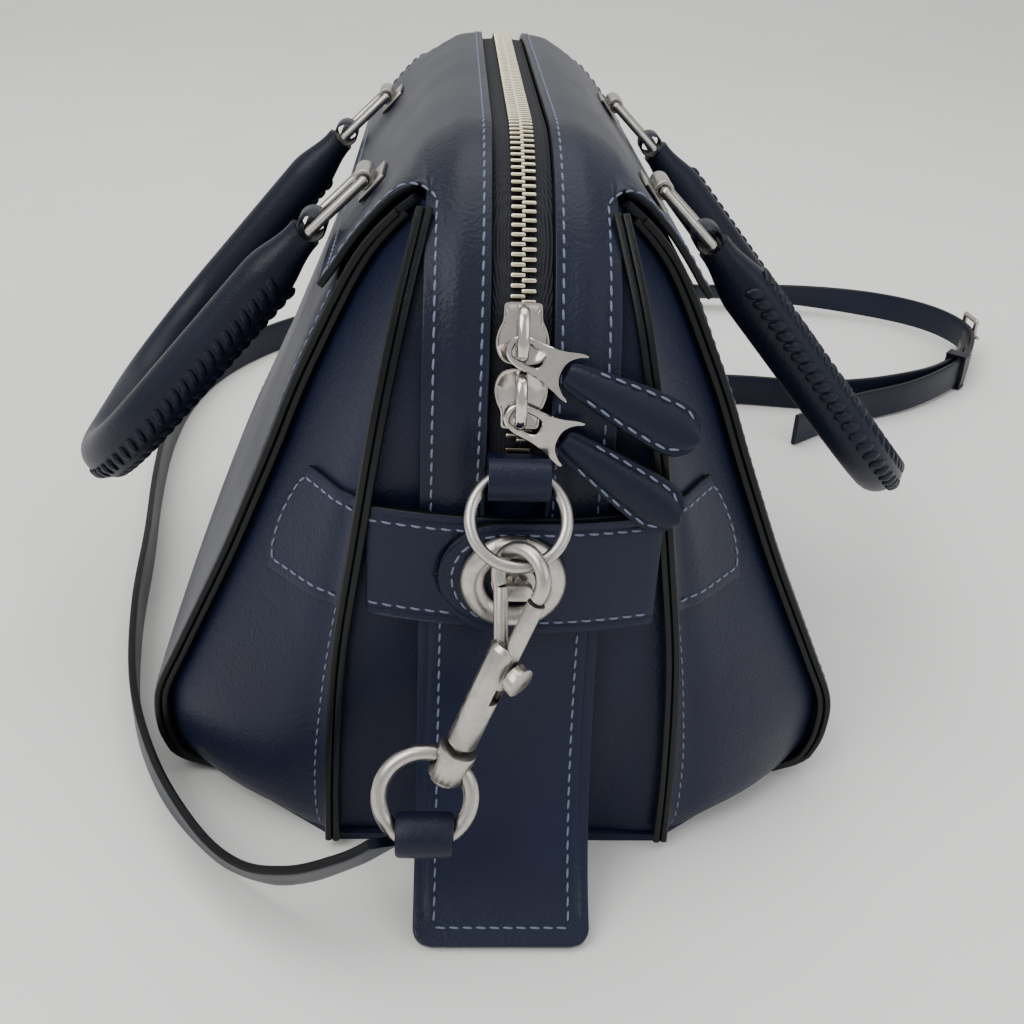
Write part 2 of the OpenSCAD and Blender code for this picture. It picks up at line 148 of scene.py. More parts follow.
def oval(centre: Vector, a: Vector, b: Vector, sides: int, squareness: float = 1.0) -> list[Vector]:
    """Points round a circle, an ellipse or a rounded rectangle.

    Args:
        centre: its middle.
        a: first half axis.
        b: second half axis.
        sides: number of points.
        squareness: 1 for an ellipse, less for squarer corners.
    Returns:
        The points.
    """
    out = []
    for q in range(sides):
        turn = 2 * math.pi * q / sides
        c, w = math.cos(turn), math.sin(turn)
        out.append(centre + a * math.copysign(abs(c) ** squareness, c)
                   + b * math.copysign(abs(w) ** squareness, w))
    return out


def tangents(points: Sequence[Vector]) -> list[Vector]:
    """Directions along a line.

    Args:
        points: the line.
    Returns:
        A unit direction at each point.
    """
    last = len(points) - 1
    return [(points[min(i + 1, last)] - points[max(i - 1, 0)]).normalized() for i in range(last + 1)]


@dataclass
class Piece:
    """A mesh being put together, in mm.

    Attributes:
        name: name of the object.
        looks: the finishes, in the order of the face indices.
        body: the CAD body it rides on.
    """

    name: str
    looks: Sequence[Look]
    body: str = "shell"
    verts: list[Vector] = field(default_factory=list)
    faces: list[tuple[int, ...]] = field(default_factory=list)
    slots: list[int] = field(default_factory=list)

    def add(self, verts: Sequence[Vector], faces: Sequence[Sequence[int]], slot: int = 0) -> None:
        """Add some geometry.

        Args:
            verts: the new points.
            faces: faces that index the new points.
            slot: which finish they take.
        """
        base = len(self.verts)
        self.verts.extend(verts)
        for f in faces:
            self.faces.append(tuple(base + i for i in f))
            self.slots.append(slot)

    def tube(self, rings: Sequence[Sequence[Vector]], slot: int = 0, closed: bool = False,
             caps: bool = True) -> None:
        """Add a skin over rings of points.

        Args:
            rings: the rings, each with the same number of points.
            slot: which finish it takes.
            closed: the last ring joins the first.
            caps: close both ends.
        """
        m, n = len(rings[0]), len(rings)
        faces: list[Sequence[int]] = []
        for i in range(n if closed else n - 1):
            j = (i + 1) % n
            for k in range(m):
                q = (k + 1) % m
                faces.append((i * m + k, i * m + q, j * m + q, j * m + k))
        if caps and not closed:
            faces.append(tuple(range(m - 1, -1, -1)))
            faces.append(tuple((n - 1) * m + k for k in range(m)))
        self.add([p for r in rings for p in r], faces, slot)

    def build(self, flip: Flip = (1, 1), smooth_angle: float = 40) -> bpy.types.Object:
        """Make the object.

        Args:
            flip: signs for X and Y, to mirror the piece to its other places.
            smooth_angle: edges sharper than this stay sharp, in degrees.
        Returns:
            The object, riding on its body.
        """
        sx, sy = flip
        mesh = bpy.data.meshes.new(self.name)
        mesh.from_pydata([(p.x * sx * MM, p.y * sy * MM, p.z * MM) for p in self.verts], [],
                         [f[::-1] if sx * sy < 0 else f for f in self.faces])
        for look in self.looks:
            mesh.materials.append(FINISHES.of(look))
        mesh.polygons.foreach_set("material_index", self.slots)
        mesh.polygons.foreach_set("use_smooth", [True] * len(self.slots))
        mesh.update()
        mesh.set_sharp_from_angle(angle=math.radians(smooth_angle))
        obj = bpy.data.objects.new(self.name, mesh)
        bpy.context.scene.collection.objects.link(obj)
        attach(obj, self.body)
        return obj


def sheet(name: str, rows: Sequence[Sequence[Vector | None]], look: Look, outward: Callable[[Vector], Vector],
          thick: float = 2.2, flip: Flip = (1, 1), body: str = "shell", rounding: float = 0.55) -> bpy.types.Object:
    """Make a piece of leather from a grid of points on its outer face.

    Args:
        name: name of the object.
        rows: the grid, with None where there is no leather.
        look: finish of the faces. The rim is edge-painted.
        outward: gives the outward direction at a point.
        thick: thickness behind the grid.
        flip: signs for X and Y.
        body: the CAD body it rides on.
        rounding: radius of the rounded rim.
    Returns:
        The object.
    """
    piece = Piece(name, (look, Look.EDGE), body)
    index: dict[tuple[int, int], int] = {}
    for i, row in enumerate(rows):
        for j, p in enumerate(row):
            if p is not None:
                index[i, j] = len(piece.verts)
                piece.verts.append(p)
    facing = 0.0
    quads = []
    for i in range(len(rows) - 1):
        for j in range(len(rows[i]) - 1):
            keys = [(i, j), (i, j + 1), (i + 1, j + 1), (i + 1, j)]
            if all(k in index for k in keys):
                q = [index[k] for k in keys]
                a, b, c, d = (piece.verts[k] for k in q)
                facing += (c - a).cross(d - b).dot(outward((a + c) / 2))
                quads.append(tuple(q))
    piece.faces = [q if facing > 0 else q[::-1] for q in quads]
    piece.slots = [0] * len(quads)
    obj = piece.build(flip)
    solid = obj.modifiers.new("thickness", "SOLIDIFY")
    solid.thickness = thick * MM
    solid.offset = -1
    solid.material_offset_rim = 1
    solid.use_even_offset = False
    edge = obj.modifiers.new("rounded rim", "BEVEL")
    edge.width = rounding * MM
    edge.segments = 2
    edge.limit_method = "ANGLE"
    edge.angle_limit = math.radians(66)
    return obj


@dataclass
class Thread:
    """Rows of hand-sized stitches, gathered into one mesh for each body.

    Attributes:
        pitch: distance from one stitch to the next.
        length: visible length of a stitch.
        radius: thickness of the thread.
    """

    pitch: float = 4.4
    length: float = 3.1
    radius: float = 0.38
    pieces: dict[str, Piece] = field(default_factory=dict)
    count: int = 0

    def sew(self, line: Sequence[Vector], normal: Callable[[Vector], Vector], flip: Flip = (1, 1),
            body: str = "shell", lift: float = 0.12) -> None:
        """Lay a row of stitches.

        Args:
            line: where the row runs, on the leather.
            normal: gives the outward direction at a point.
            flip: signs for X and Y.
            body: the CAD body the row rides on.
            lift: height of the thread's middle above the leather.
        """
        piece = self.pieces.setdefault(body, Piece(f"stitches_{body}", (Look.THREAD,), body))
        sx, sy = flip
        samples = evenly(line, self.pitch)
        for a, b in zip(samples, samples[1:]):
            along = (b - a).normalized()
            up = normal((a + b) / 2).normalized()
            across = along.cross(up).normalized()
            along = (along + across * 0.07).normalized()
            mid = (a + b) / 2 + up * lift
            verts: list[Vector] = []
            for u, r in ((-1, 0.3), (-0.72, 0.85), (0, 1.0), (0.72, 0.85), (1, 0.3)):
                thick = r * self.radius
                verts += oval(mid + along * u * self.length / 2 - up * 0.63 * u * u * self.radius,
                              across * thick, up * thick, 6)
            faces: list[tuple[int, ...]] = [(i + q, i + (q + 1) % 6, i + 6 + (q + 1) % 6, i + 6 + q)
                                            for i in (0, 6, 12, 18) for q in range(6)]
            faces += [(5, 4, 3, 2, 1, 0), (24, 25, 26, 27, 28, 29)]
            if sx * sy < 0:
                faces = [f[::-1] for f in faces]
            piece.add([Vector((p.x * sx, p.y * sy, p.z)) for p in verts], faces)
            self.count += 1

    def finish(self) -> None:
        """Make the stitch objects."""
        for piece in self.pieces.values():
            piece.build()
        log.info("stitches: %d", self.count)


# ---------------------------------------------------------------- finishes

class Graph:
    """Short way to write shader nodes."""

    def __init__(self, tree: bpy.types.NodeTree) -> None:
        """Start on a tree.

        Args:
            tree: the node tree to fill.
        """
        self.tree = tree

    def add(self, kind: str, inputs: dict[str | int, object] | None = None, **settings: object) -> bpy.types.Node:
        """Add a node.

        Args:
            kind: type of the node, without ShaderNode.
            inputs: sockets to link, or values to set.
            **settings: properties of the node.
        Returns:
            The node.
        """
        node = self.tree.nodes.new(kind if kind.startswith("Node") else "ShaderNode" + kind)
        for key, value in settings.items():
            setattr(node, key, value)
        for key, value in (inputs or {}).items():
            if isinstance(value, bpy.types.NodeSocket):
                self.tree.links.new(value, node.inputs[key])
            else:
                node.inputs[key].default_value = value
        return node

    def math(self, op: str, a: object, b: object = 0.0) -> bpy.types.NodeSocket:
        """Add a sum.

        Args:
            op: the operation.
            a: first value or socket.
            b: second value or socket.
        Returns:
            The result.
        """
        return self.add("Math", {0: a, 1: b}, operation=op).outputs[0]

    def ramp(self, value: object, low: float, high: float, to_low: float = 0.0, to_high: float = 1.0) \
            -> bpy.types.NodeSocket:
        """Map a range to another, clamped.

        Args:
            value: socket to map.
            low: start of the old range.
            high: end of the old range.
            to_low: start of the new range.
            to_high: end of the new range.
        Returns:
            The mapped socket.
        """
        return self.add("MapRange", {0: value, 1: low, 2: high, 3: to_low, 4: to_high}).outputs[0]


def group(name: str, inputs: dict[str, float], outputs: Sequence[str],
          fill: Callable[[Graph, bpy.types.Node], dict[str, bpy.types.NodeSocket]]) -> bpy.types.NodeTree:
    """Make a shared node group of float values.

    Args:
        name: name of the group.
        inputs: input names and their defaults.
        outputs: output names.
        fill: draws the nodes and returns the output sockets.
    Returns:
        The group.
    """
    tree = bpy.data.node_groups.new(name, "ShaderNodeTree")
    for key, value in inputs.items():
        tree.interface.new_socket(key, in_out="INPUT", socket_type="NodeSocketFloat").default_value = value
    for key in outputs:
        tree.interface.new_socket(key, in_out="OUTPUT", socket_type="NodeSocketFloat")
    g = Graph(tree)
    start = g.add("NodeGroupInput")
    end = g.add("NodeGroupOutput")
    for key, socket in fill(g, start).items():
        tree.links.new(socket, end.inputs[key])
    return tree


def draw_grain(g: Graph, start: bpy.types.Node) -> dict[str, bpy.types.NodeSocket]:
    """Leather grain: pebbles, pores and soft creases.

    Args:
        g: the graph.
        start: its inputs.
    Returns:
        Height in mm and a tone mask.
    """
    co = g.add("TexCoord").outputs["Object"]
    warp = g.add("TexNoise", {"Vector": co, "Scale": 260.0, "Detail": 2.0})
    bent = g.add("VectorMath", {0: warp.outputs["Color"], 1: (0.0022,) * 3}, operation="MULTIPLY").outputs[0]
    place = g.add("VectorMath", {0: co, 1: bent}, operation="ADD").outputs[0]
    scale = g.math("MULTIPLY", start.outputs["Density"], 1000.0)
    cells = g.add("TexVoronoi", {"Vector": place, "Scale": scale}, feature="SMOOTH_F1")
    pebble = g.ramp(cells.outputs["Distance"], 0.0, 0.75, 1.0, 0.0)
    fine = g.add("TexNoise", {"Vector": co, "Scale": 2600.0, "Detail": 3.0}).outputs[0]
    crease = g.add("TexNoise", {"Vector": co, "Scale": 55.0, "Detail": 4.0, "Roughness": 0.55,
                                "Distortion": 0.8}).outputs[0]
    height = g.math("ADD", g.math("MULTIPLY", pebble, start.outputs["Pebble"]),
                    g.math("ADD", g.math("MULTIPLY", fine, 0.02), g.math("MULTIPLY", crease, 0.35)))
    tone = g.add("TexNoise", {"Vector": co, "Scale": 14.0, "Detail": 3.0}).outputs[0]
    return {"Height": height, "Tone": g.ramp(tone, 0.3, 0.7)}


def draw_wear_and_hollow_shade(g: Graph, start: bpy.types.Node) -> dict[str, bpy.types.NodeSocket]:
    """Worn plating with painted shade: clouds and fine scratches, and painted shade in the hollows and between
    parts.

    Args:
        g: the graph.
        start: its inputs.
    Returns:
        A mask of painted hollow shade and worn clouding, a roughness offset and a height.
    """
    co = g.add("TexCoord").outputs["Object"]
    cloud = g.add("TexNoise", {"Vector": co, "Scale": 300.0, "Detail": 4.0}).outputs[0]
    stretched = g.add("Mapping", {"Vector": co, "Scale": (400.0, 3200.0, 900.0)}).outputs[0]
    scratch = g.add("TexNoise", {"Vector": stretched, "Scale": 1.0, "Detail": 2.0}).outputs[0]
    # Painted shade: the ambient occlusion node finds hollows and gaps between parts, where shade falls, and the mask
    # darkens the colour there; the faint clouds are real worn plating.
    hollow = g.add("AmbientOcclusion", {"Distance": 0.004}, samples=4).outputs["AO"]
    dark = g.math("MULTIPLY", g.ramp(hollow, 0.35, 0.95, 1.0, 0.0), start.outputs["Hollow_shade"])
    mask = g.math("MAXIMUM", dark, g.math("MULTIPLY", g.ramp(cloud, 0.5, 0.75), 0.25))
    return {"Mask": mask, "Rough": g.ramp(cloud, 0.3, 0.7, -0.05, 0.08), "Height": scratch}


def draw_weave(g: Graph, start: bpy.types.Node) -> dict[str, bpy.types.NodeSocket]:
    """Herringbone ribs of a woven tape.

    Args:
        g: the graph.
        start: its inputs.
    Returns:
        Height and a tone mask.
    """
    co = g.add("TexCoord").outputs["Object"]
    part = g.add("SeparateXYZ", {0: co}).outputs
    run = g.math("SUBTRACT", part["X"], part["Z"])
    zig = g.math("ADD", run, g.math("ABSOLUTE", part["Y"]))
    ribs = g.math("SINE", g.math("MULTIPLY", zig, start.outputs["Ribs"]))
    cross = g.math("SINE", g.math("MULTIPLY", part["Y"], start.outputs["Ribs"]))
    height = g.math("ADD", g.math("MULTIPLY", ribs, 0.6), g.math("MULTIPLY", cross, 0.4))
    return {"Height": height, "Tone": g.ramp(height, -1.0, 1.0)}


class Finishes:
    """Makes and keeps the materials."""

    def __init__(self) -> None:
        """Make the shared node groups and every material."""
        self.grain = group("Leather grain", {"Density": 0.9, "Pebble": 0.1}, ("Height", "Tone"), draw_grain)
        # The plating group paints shade into hollows, besides real worn clouding and scratches.
        self.wear_and_shade = group("Plating wear", {"Hollow_shade": 0.6}, ("Mask", "Rough", "Height"), draw_wear_and_hollow_shade)
        self.weave = group("Weave", {"Ribs": 5200.0}, ("Height", "Tone"), draw_weave)
        self.made: dict[Look, bpy.types.Material] = {
            Look.LEATHER: self.leather(Look.LEATHER, (0.0066, 0.0092, 0.0255), 0.40, 0.95, 0.12),
            Look.TOP: self.leather(Look.TOP, (0.0072, 0.0098, 0.023), 0.38, 0.9, 0.13),
            Look.HANDLE: self.leather(Look.HANDLE, (0.0052, 0.0072, 0.0175), 0.40, 1.0, 0.09),
            Look.STRAP: self.leather(Look.STRAP, (0.0056, 0.0078, 0.019), 0.40, 1.0, 0.1),
            Look.EDGE: self.leather(Look.EDGE, (0.0042, 0.0048, 0.0056), 0.34, 1.6, 0.06),
            Look.THREAD: self.thread(),
            Look.TAPE: self.tape(),
            # For each metal the last number is how dark its painted hollow shade is.
            Look.TEETH: self.metal(Look.TEETH, (0.74, 0.67, 0.50), 0.2, 0.75),
            Look.NICKEL: self.metal(Look.NICKEL, (0.5, 0.475, 0.44), 0.3, 0.7),
            Look.SLIDER: self.metal(Look.SLIDER, (0.62, 0.585, 0.55), 0.14, 0.5),
            Look.LINING: self.leather(Look.LINING, (0.03, 0.036, 0.06), 0.8, 2.0, 0.03),
            Look.BOARD: self.leather(Look.BOARD, (0.03, 0.03, 0.03), 0.8, 2.0, 0.02),
        }

    def of(self, look: Look) -> bpy.types.Material:
        """Find a material.

        Args:
            look: which finish.
        Returns:
            The material.
        """
        return self.made[look]

    def start(self, look: Look) -> tuple[bpy.types.Material, Graph, bpy.types.Node]:
        """Start a material.

        Args:
            look: which finish.
        Returns:
            The material, its graph and its shader.
        """
        mat = bpy.data.materials.new(look.value)
        mat.use_nodes = True
        mat.node_tree.nodes.clear()
        g = Graph(mat.node_tree)
        bsdf = g.add("BsdfPrincipled")
        g.add("OutputMaterial", {"Surface": bsdf.outputs[0]})
        return mat, g, bsdf

    def leather(self, look: Look, colour: tuple[float, float, float], rough: float, density: float,
                pebble: float) -> bpy.types.Material:
        """Leather, or its painted edge.

        Args:
            look: which finish.
            colour: base colour.
            rough: roughness.
            density: grain cells for each mm.
            pebble: height of the grain, in mm.
        Returns:
            The material.
        """
        mat, g, bsdf = self.start(look)
        grain = g.add("Group", node_tree=self.grain)
        grain.inputs["Density"].default_value = density
        grain.inputs["Pebble"].default_value = pebble
        light = tuple(c * 1.25 for c in colour) + (1.0,)
        dark = tuple(c * 0.85 for c in colour) + (1.0,)
        mix = g.add("Mix", {0: grain.outputs["Tone"], 6: dark, 7: light}, data_type="RGBA")
        g.tree.links.new(mix.outputs[2], bsdf.inputs["Base Color"])
        g.tree.links.new(g.ramp(grain.outputs["Tone"], 0.0, 1.0, rough - 0.04, rough + 0.06),
                         bsdf.inputs["Roughness"])
        bump = g.add("Bump", {"Height": grain.outputs["Height"], "Strength": 0.8, "Distance": MM})
        g.tree.links.new(bump.outputs[0], bsdf.inputs["Normal"])
        bsdf.inputs["Specular IOR Level"].default_value = 0.22
        return mat

    def metal(self, look: Look, colour: tuple[float, float, float], rough: float, hollow_shade: float) \
            -> bpy.types.Material:
        """Plated metal, with painted shade in its hollows.

        Args:
            look: which finish.
            colour: colour of the clean plating.
            rough: roughness.
            hollow_shade: how dark the painted shade in the hollows is.
        Returns:
            The material.
        """
        mat, g, bsdf = self.start(look)
        wear_and_shade = g.add("Group", node_tree=self.wear_and_shade)
        wear_and_shade.inputs["Hollow_shade"].default_value = hollow_shade
        # Painted shade: the plating darkens to 0.28 of its colour in the hollows and gaps that the mask finds, and
        # faintly in real worn clouds.
        dark = tuple(c * 0.28 for c in colour) + (1.0,)
        mix = g.add("Mix", {0: wear_and_shade.outputs["Mask"], 6: colour + (1.0,), 7: dark}, data_type="RGBA")
        g.tree.links.new(mix.outputs[2], bsdf.inputs["Base Color"])
        g.tree.links.new(g.math("ADD", wear_and_shade.outputs["Rough"], rough), bsdf.inputs["Roughness"])
        bump = g.add("Bump", {"Height": wear_and_shade.outputs["Height"], "Strength": 0.12, "Distance": 0.1 * MM})
        g.tree.links.new(bump.outputs[0], bsdf.inputs["Normal"])
        bsdf.inputs["Metallic"].default_value = 1.0
        return mat

    def thread(self) -> bpy.types.Material:
        """Waxed sewing thread.

        Returns:
            The material.
        """
        mat, g, bsdf = self.start(Look.THREAD)
        weave = g.add("Group", node_tree=self.weave)
        weave.inputs["Ribs"].default_value = 16000.0
        mix = g.add("Mix", {0: weave.outputs["Tone"], 6: (0.085, 0.1, 0.155, 1), 7: (0.17, 0.195, 0.28, 1)},
                    data_type="RGBA")
        g.tree.links.new(mix.outputs[2], bsdf.inputs["Base Color"])
        bsdf.inputs["Roughness"].default_value = 0.6
        return mat

    def tape(self) -> bpy.types.Material:
        """Woven zip tape.

        Returns:
            The material.
        """
        mat, g, bsdf = self.start(Look.TAPE)
        weave = g.add("Group", node_tree=self.weave)
        mix = g.add("Mix", {0: weave.outputs["Tone"], 6: (0.002, 0.0025, 0.005, 1), 7: (0.009, 0.011, 0.019, 1)},
                    data_type="RGBA")
        g.tree.links.new(mix.outputs[2], bsdf.inputs["Base Color"])
        bump = g.add("Bump", {"Height": weave.outputs["Height"], "Strength": 0.8, "Distance": 0.2 * MM})
        g.tree.links.new(bump.outputs[0], bsdf.inputs["Normal"])
        bsdf.inputs["Roughness"].default_value = 0.8
        return mat


FINISHES = Finishes()
THREAD = Thread()


# ---------------------------------------------------------------- the bag's shape

Table = tuple[tuple[float, float], ...]


def curved(table: Table) -> Table:
    """Round the corners of a table of (x, value) pairs.

    Args:
        table: the pairs, in rising x.
    Returns:
        More pairs, on a smooth curve through the first ones.
    """
    return tuple((p.x, p.y) for p in spline([Vector((x, v, 0)) for x, v in table], 6))


@dataclass(frozen=True)
class Arch:
    """Side view of the bag, which the zip follows. s is measured from the middle of the top."""

    half: float = 161.0
    height: float = 232.0
    radius: float = 76.0

    def at(self, s: float, depth: float = 0.0) -> tuple[Vector, Vector]:
        """Find a point on the side view.

        Args:
            s: run along the outer surface, positive towards +X.
            depth: depth below the outer surface.
        Returns:
            The point with y 0, and the outward direction.
        """
        sign = 1 if s > 0 else -1
        flat = self.half - self.radius
        run = abs(s)
        quarter = self.radius * math.pi / 2
        if run <= flat:
            p, n = Vector((s, 0, self.height)), Vector((0, 0, 1))
        elif run <= flat + quarter:
            a = (run - flat) / self.radius
            n = Vector((sign * math.sin(a), 0, math.cos(a)))
            p = Vector((sign * flat, 0, self.height - self.radius)) + n * self.radius
        else:
            p = Vector((sign * self.half, 0, self.height - self.radius - (run - flat - quarter)))
            n = Vector((sign, 0, 0))
        return p - n * depth, n

    def down_to(self, z: float) -> float:
        """Run at which the side view reaches height z on the +X wall.

        Args:
            z: the height.
        Returns:
            The run.
        """
        return self.half - self.radius + self.radius * math.pi / 2 + self.height - self.radius - z


@dataclass(frozen=True)
class Shape:
    """Seam lines shared by the leather pieces, in mm."""

    arch: Arch = Arch()
    strip_out: float = 28.0
    wing_x: float = 121.5
    crest: Table = ((8.8, 231.5), (14, 230.6), (20, 229), (25, 226.4), (30, 223),
                    (37, 216), (44, 207), (52, 197.6), (60.5, 187))
    panel: Table = curved(((3.4, 105), (8, 117), (14, 120.6), (22, 122.6), (37, 122), (55, 114), (76, 104),
                           (96, 94.6), (116, 86), (136, 77.6), (155, 70), (172, 62.2), (190, 54)))
    wing_seam: Table = curved(((3.4, 105), (8, 117), (14, 120.6), (22, 122.6), (37, 122), (55, 114), (76, 104),
                               (96, 94.6), (116, 86), (136, 77.6), (155, 70), (172, 62.2), (190, 53.4),
                               (200, 47.4), (208, 40.5), (213, 34.8), (216, 30)))
    ridge: Table = curved(((3.4, 57), (38, 56), (80, 53), (120, 47), (156, 41), (190, 34), (206, 30), (215, 27.6)))
    ridge_x: Table = curved(((3.4, 161), (80, 161), (120, 161), (156, 159.5), (180, 153.4), (190, 149.5),
                             (206, 138), (215, 129)))

    def crown(self, s: float, y: float) -> Vector:
        """Outer face of the top leather beside the zip.

        Args:
            s: run along the arch.
            y: distance from the middle, up to the strip's outer edge.
        Returns:
            The point.
        """
        p, n = self.arch.at(s)
        turn = math.degrees(math.acos(max(min(n.z, 1.0), -1.0)))
        on_top = smooth((72 - turn) / 60)
        drop = (231.5 - lookup(self.crest, y)) * on_top
        puff = 0.9 * math.sin(math.pi * min(max((y - 12.2) / 11.3, 0.0), 1.0)) ** 2 * (1 - 0.5 * on_top)
        p = p - n * (drop - puff)
        p.y = y
        return p


SHAPE = Shape()


def away(p: Vector) -> Vector:
    """Direction out of the bag.

    Args:
        p: a point on its skin.
    Returns:
        The direction from the middle of the bag.
    """
    return Vector((p.x * 0.35, p.y, (p.z - 90) * 1.0))


def fixed(direction: Vector) -> Callable[[Vector], Vector]:
    """A direction that is the same everywhere.

    Args:
        direction: the direction.
    Returns:
        A function of a point.
    """
    return lambda p: direction


class BagBody:
    """The leather shell: top, strips, panels, gussets and the recessed end walls."""

    def wing(self, x: float, y: float) -> Vector:
        """Outer face of the top leather outside the strips.

        Args:
            x: place along the bag, within the wings.
            y: distance from the middle.
        Returns:
            The point.
        """
        arch = SHAPE.arch
        over = max(abs(x) - (arch.half - arch.radius), 0)
        s = math.copysign(arch.half - arch.radius + arch.radius * math.asin(over / arch.radius), x) if over else x
        inner = SHAPE.crown(s, SHAPE.strip_out)
        t = (y - SHAPE.strip_out) / (60.5 - SHAPE.strip_out)
        base = lookup(SHAPE.crest, y)
        flare = 3.5 * smooth((abs(x) - 85) / 36) * math.sin(math.pi * min(t * 1.1, 1.0))
        z = base - (lookup(SHAPE.crest, SHAPE.strip_out) - inner.z) * (1 - t) ** 2 + flare
        return Vector((x, y, z))

    def top(self) -> None:
        """Yokes with their strips down both ends."""
        arch = SHAPE.arch
        flat = arch.half - arch.radius
        edge_s = flat + arch.radius * math.asin((SHAPE.wing_x - flat) / arch.radius)
        end_s = arch.down_to(99)
        runs = [-end_s + (end_s - edge_s) * k / 34 for k in range(34)]
        runs += [-edge_s + 2 * edge_s * k / 60 for k in range(61)]
        runs += [edge_s + (end_s - edge_s) * (k + 1) / 34 for k in range(34)]
        inner = [8.8, 9.3, 10.4, 12.2, 14.5, 17, 19.5, 22, 23.6, 25.4, 27.2, 28]
        outer = [30, 32.5, 35.5, 39, 42.5, 46, 49.5, 53, 56.5, 59.5, 60.5]
        rows: list[list[Vector | None]] = []
        for s in runs:
            row: list[Vector | None] = [SHAPE.crown(s, y) for y in inner]
            x = row[-1].x
            inside = abs(s) <= edge_s + 1e-6
            row += [self.wing(x, y) if inside else None for y in outer]
            rows.append(row)
        for name, flip in SIDES.items():
            obj = sheet(f"{name}_top_leather", rows, Look.TOP, away, 2.3, flip)
            if name == "back":
                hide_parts("back_yoke")
            else:
                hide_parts("front_yoke", "left_zip_strips", "right_zip_strips")
            THREAD.sew([SHAPE.crown(-end_s + 2 * end_s * k / 200, 11.2) for k in range(201)], away, flip)
            for end in (-1, 1):
                up = [SHAPE.crown(end * s, 24.5) for s in
                      [end_s - 3 - (end_s - 3 - edge_s - 6) * k / 40 for k in range(41)]]
                turn = [self.wing(end * (SHAPE.wing_x - 4.2 + 1.5 * (1 - smooth(k / 6))), 29 + k) for k in range(31)]
                THREAD.sew([*up, *turn[2:]], away, flip, lift=0.3)
            THREAD.sew([self.wing(-117 + 3.9 * k, 57.3) for k in range(61)], away, flip)

    def panels(self) -> None:
        """Front and back outer panels."""
        levels = [3.4, 5, 8, 11, 14, 18, 22, 28, 34] + [40 + 6 * k for k in range(26)]
        stops = [-123, -122, -120, -117, -113] + [-105 + 10 * k for k in range(22)] + [113, 117, 120, 122, 123]
        rows = []
        for z in levels:
            y = lookup(SHAPE.panel, z)
            row = []
            for x in stops:
                full = math.cos(math.pi / 2 * min(abs(x) / 123, 1.0)) ** 0.7 if abs(x) < 123 else 0
                swell = 3.2 * full * math.sin(math.pi * min(z / 190, 1.0))
                row.append(Vector((x, y + swell, z)))
            rows.append(row)
        for name, flip in SIDES.items():
            obj = sheet(f"{name}_panel_leather", rows, Look.LEATHER, fixed(Vector((0, 1, 0.3))), 2.4, flip)
            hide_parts(f"{name}_panel")
            for x in (-118.6, 118.6):
                heights = [5 + 181 * k / 90 for k in range(91)]
                line = [Vector((x, lookup(SHAPE.panel, z) + 0.1, z)) for z in heights]
                THREAD.sew(line, fixed(Vector((0, 1, 0.35))), flip)

    def gusset(self, z: float, t: float) -> Vector:
        """Outer face of a gusset at the left back corner.

        Args:
            z: the height.
            t: 0 at the ridge, 1 at the wing seam.
        Returns:
            The point.
        """
        a = Vector((-lookup(SHAPE.ridge_x, z), lookup(SHAPE.ridge, z), z))
        b = Vector((-119.5, lookup(SHAPE.wing_seam, z) - 4.5, z))
        p = a.lerp(b, t)
        out = Vector((-0.75, 0.62, 0))
        low = smooth((110 - z) / 80) * smooth(z / 14)
        swell = (5.5 * low - 1.8 * (1 - low) * smooth((z - 100) / 50)) * math.sin(math.pi * t)
        hollow = -2.2 * math.exp(-((t - 0.1) / 0.09) ** 2) * smooth((190 - z) / 60)
        return p + out * (swell + hollow)

    def gussets(self) -> None:
        """The four outer gussets with their welted edges."""
        levels = [3.4, 6, 10, 15, 20, 26, 32] + [38 + 6 * k for k in range(29)] + [210, 214]
        for name, flip in QUARTERS.items():
            rows = []
            for z in levels:
                row = [self.gusset(z, t) for t in (0, 0.012, 0.035, 0.07, 0.11, 0.16, 0.22, 0.3, 0.4, 0.5, 0.6,
                                                   0.7, 0.8, 0.88, 0.94, 0.98, 1)]
                tip = row[-1]
                row.append(tip + Vector((-0.8, 0.9, 0)))
                row.append(tip + Vector((-2.4, 1.3, 0)))
                row.append(tip + Vector((-3.9, 1.4, 0)))
                rows.append(row)
            obj = sheet(f"{name}_gusset_leather", rows, Look.LEATHER, fixed(Vector((-1, 0.8, 0))), 2.4, flip)
            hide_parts(f"{name}_gusset")
            line = [self.gusset(5 + 203 * k / 80, 0.1) for k in range(81)]
            THREAD.sew(line, fixed(Vector((-1, 0.5, 0))), flip)

    def welts(self) -> None:
        """Painted double edges where two leathers are sewn together."""
        spots = [(0.0, Vector((-0.5, -1.1, 0))), (0.0, Vector((-0.3, 1.4, 0))),
                 (1.0, Vector((-3.6, 0.3, 0))), (1.0, Vector((-3.6, 3.1, 0)))]
        for name, flip in QUARTERS.items():
            piece = Piece(f"{name}_welts", (Look.EDGE,))
            for t, push in spots:
                top = 214 if t < 0.5 else 211
                line = evenly([self.gusset(3.8 + (top - 3.8) * k / 70, t) + push for k in range(71)], 2.5)
                rings = []
                for p, d in zip(line, tangents(line)):
                    side = d.cross(Vector((-1, 0, 0))).normalized()
                    face = side.cross(d)
                    rings.append(oval(p, side * 1.3, face * 1.7, 12, 0.7))
                piece.tube(rings)
            obj = piece.build(flip)

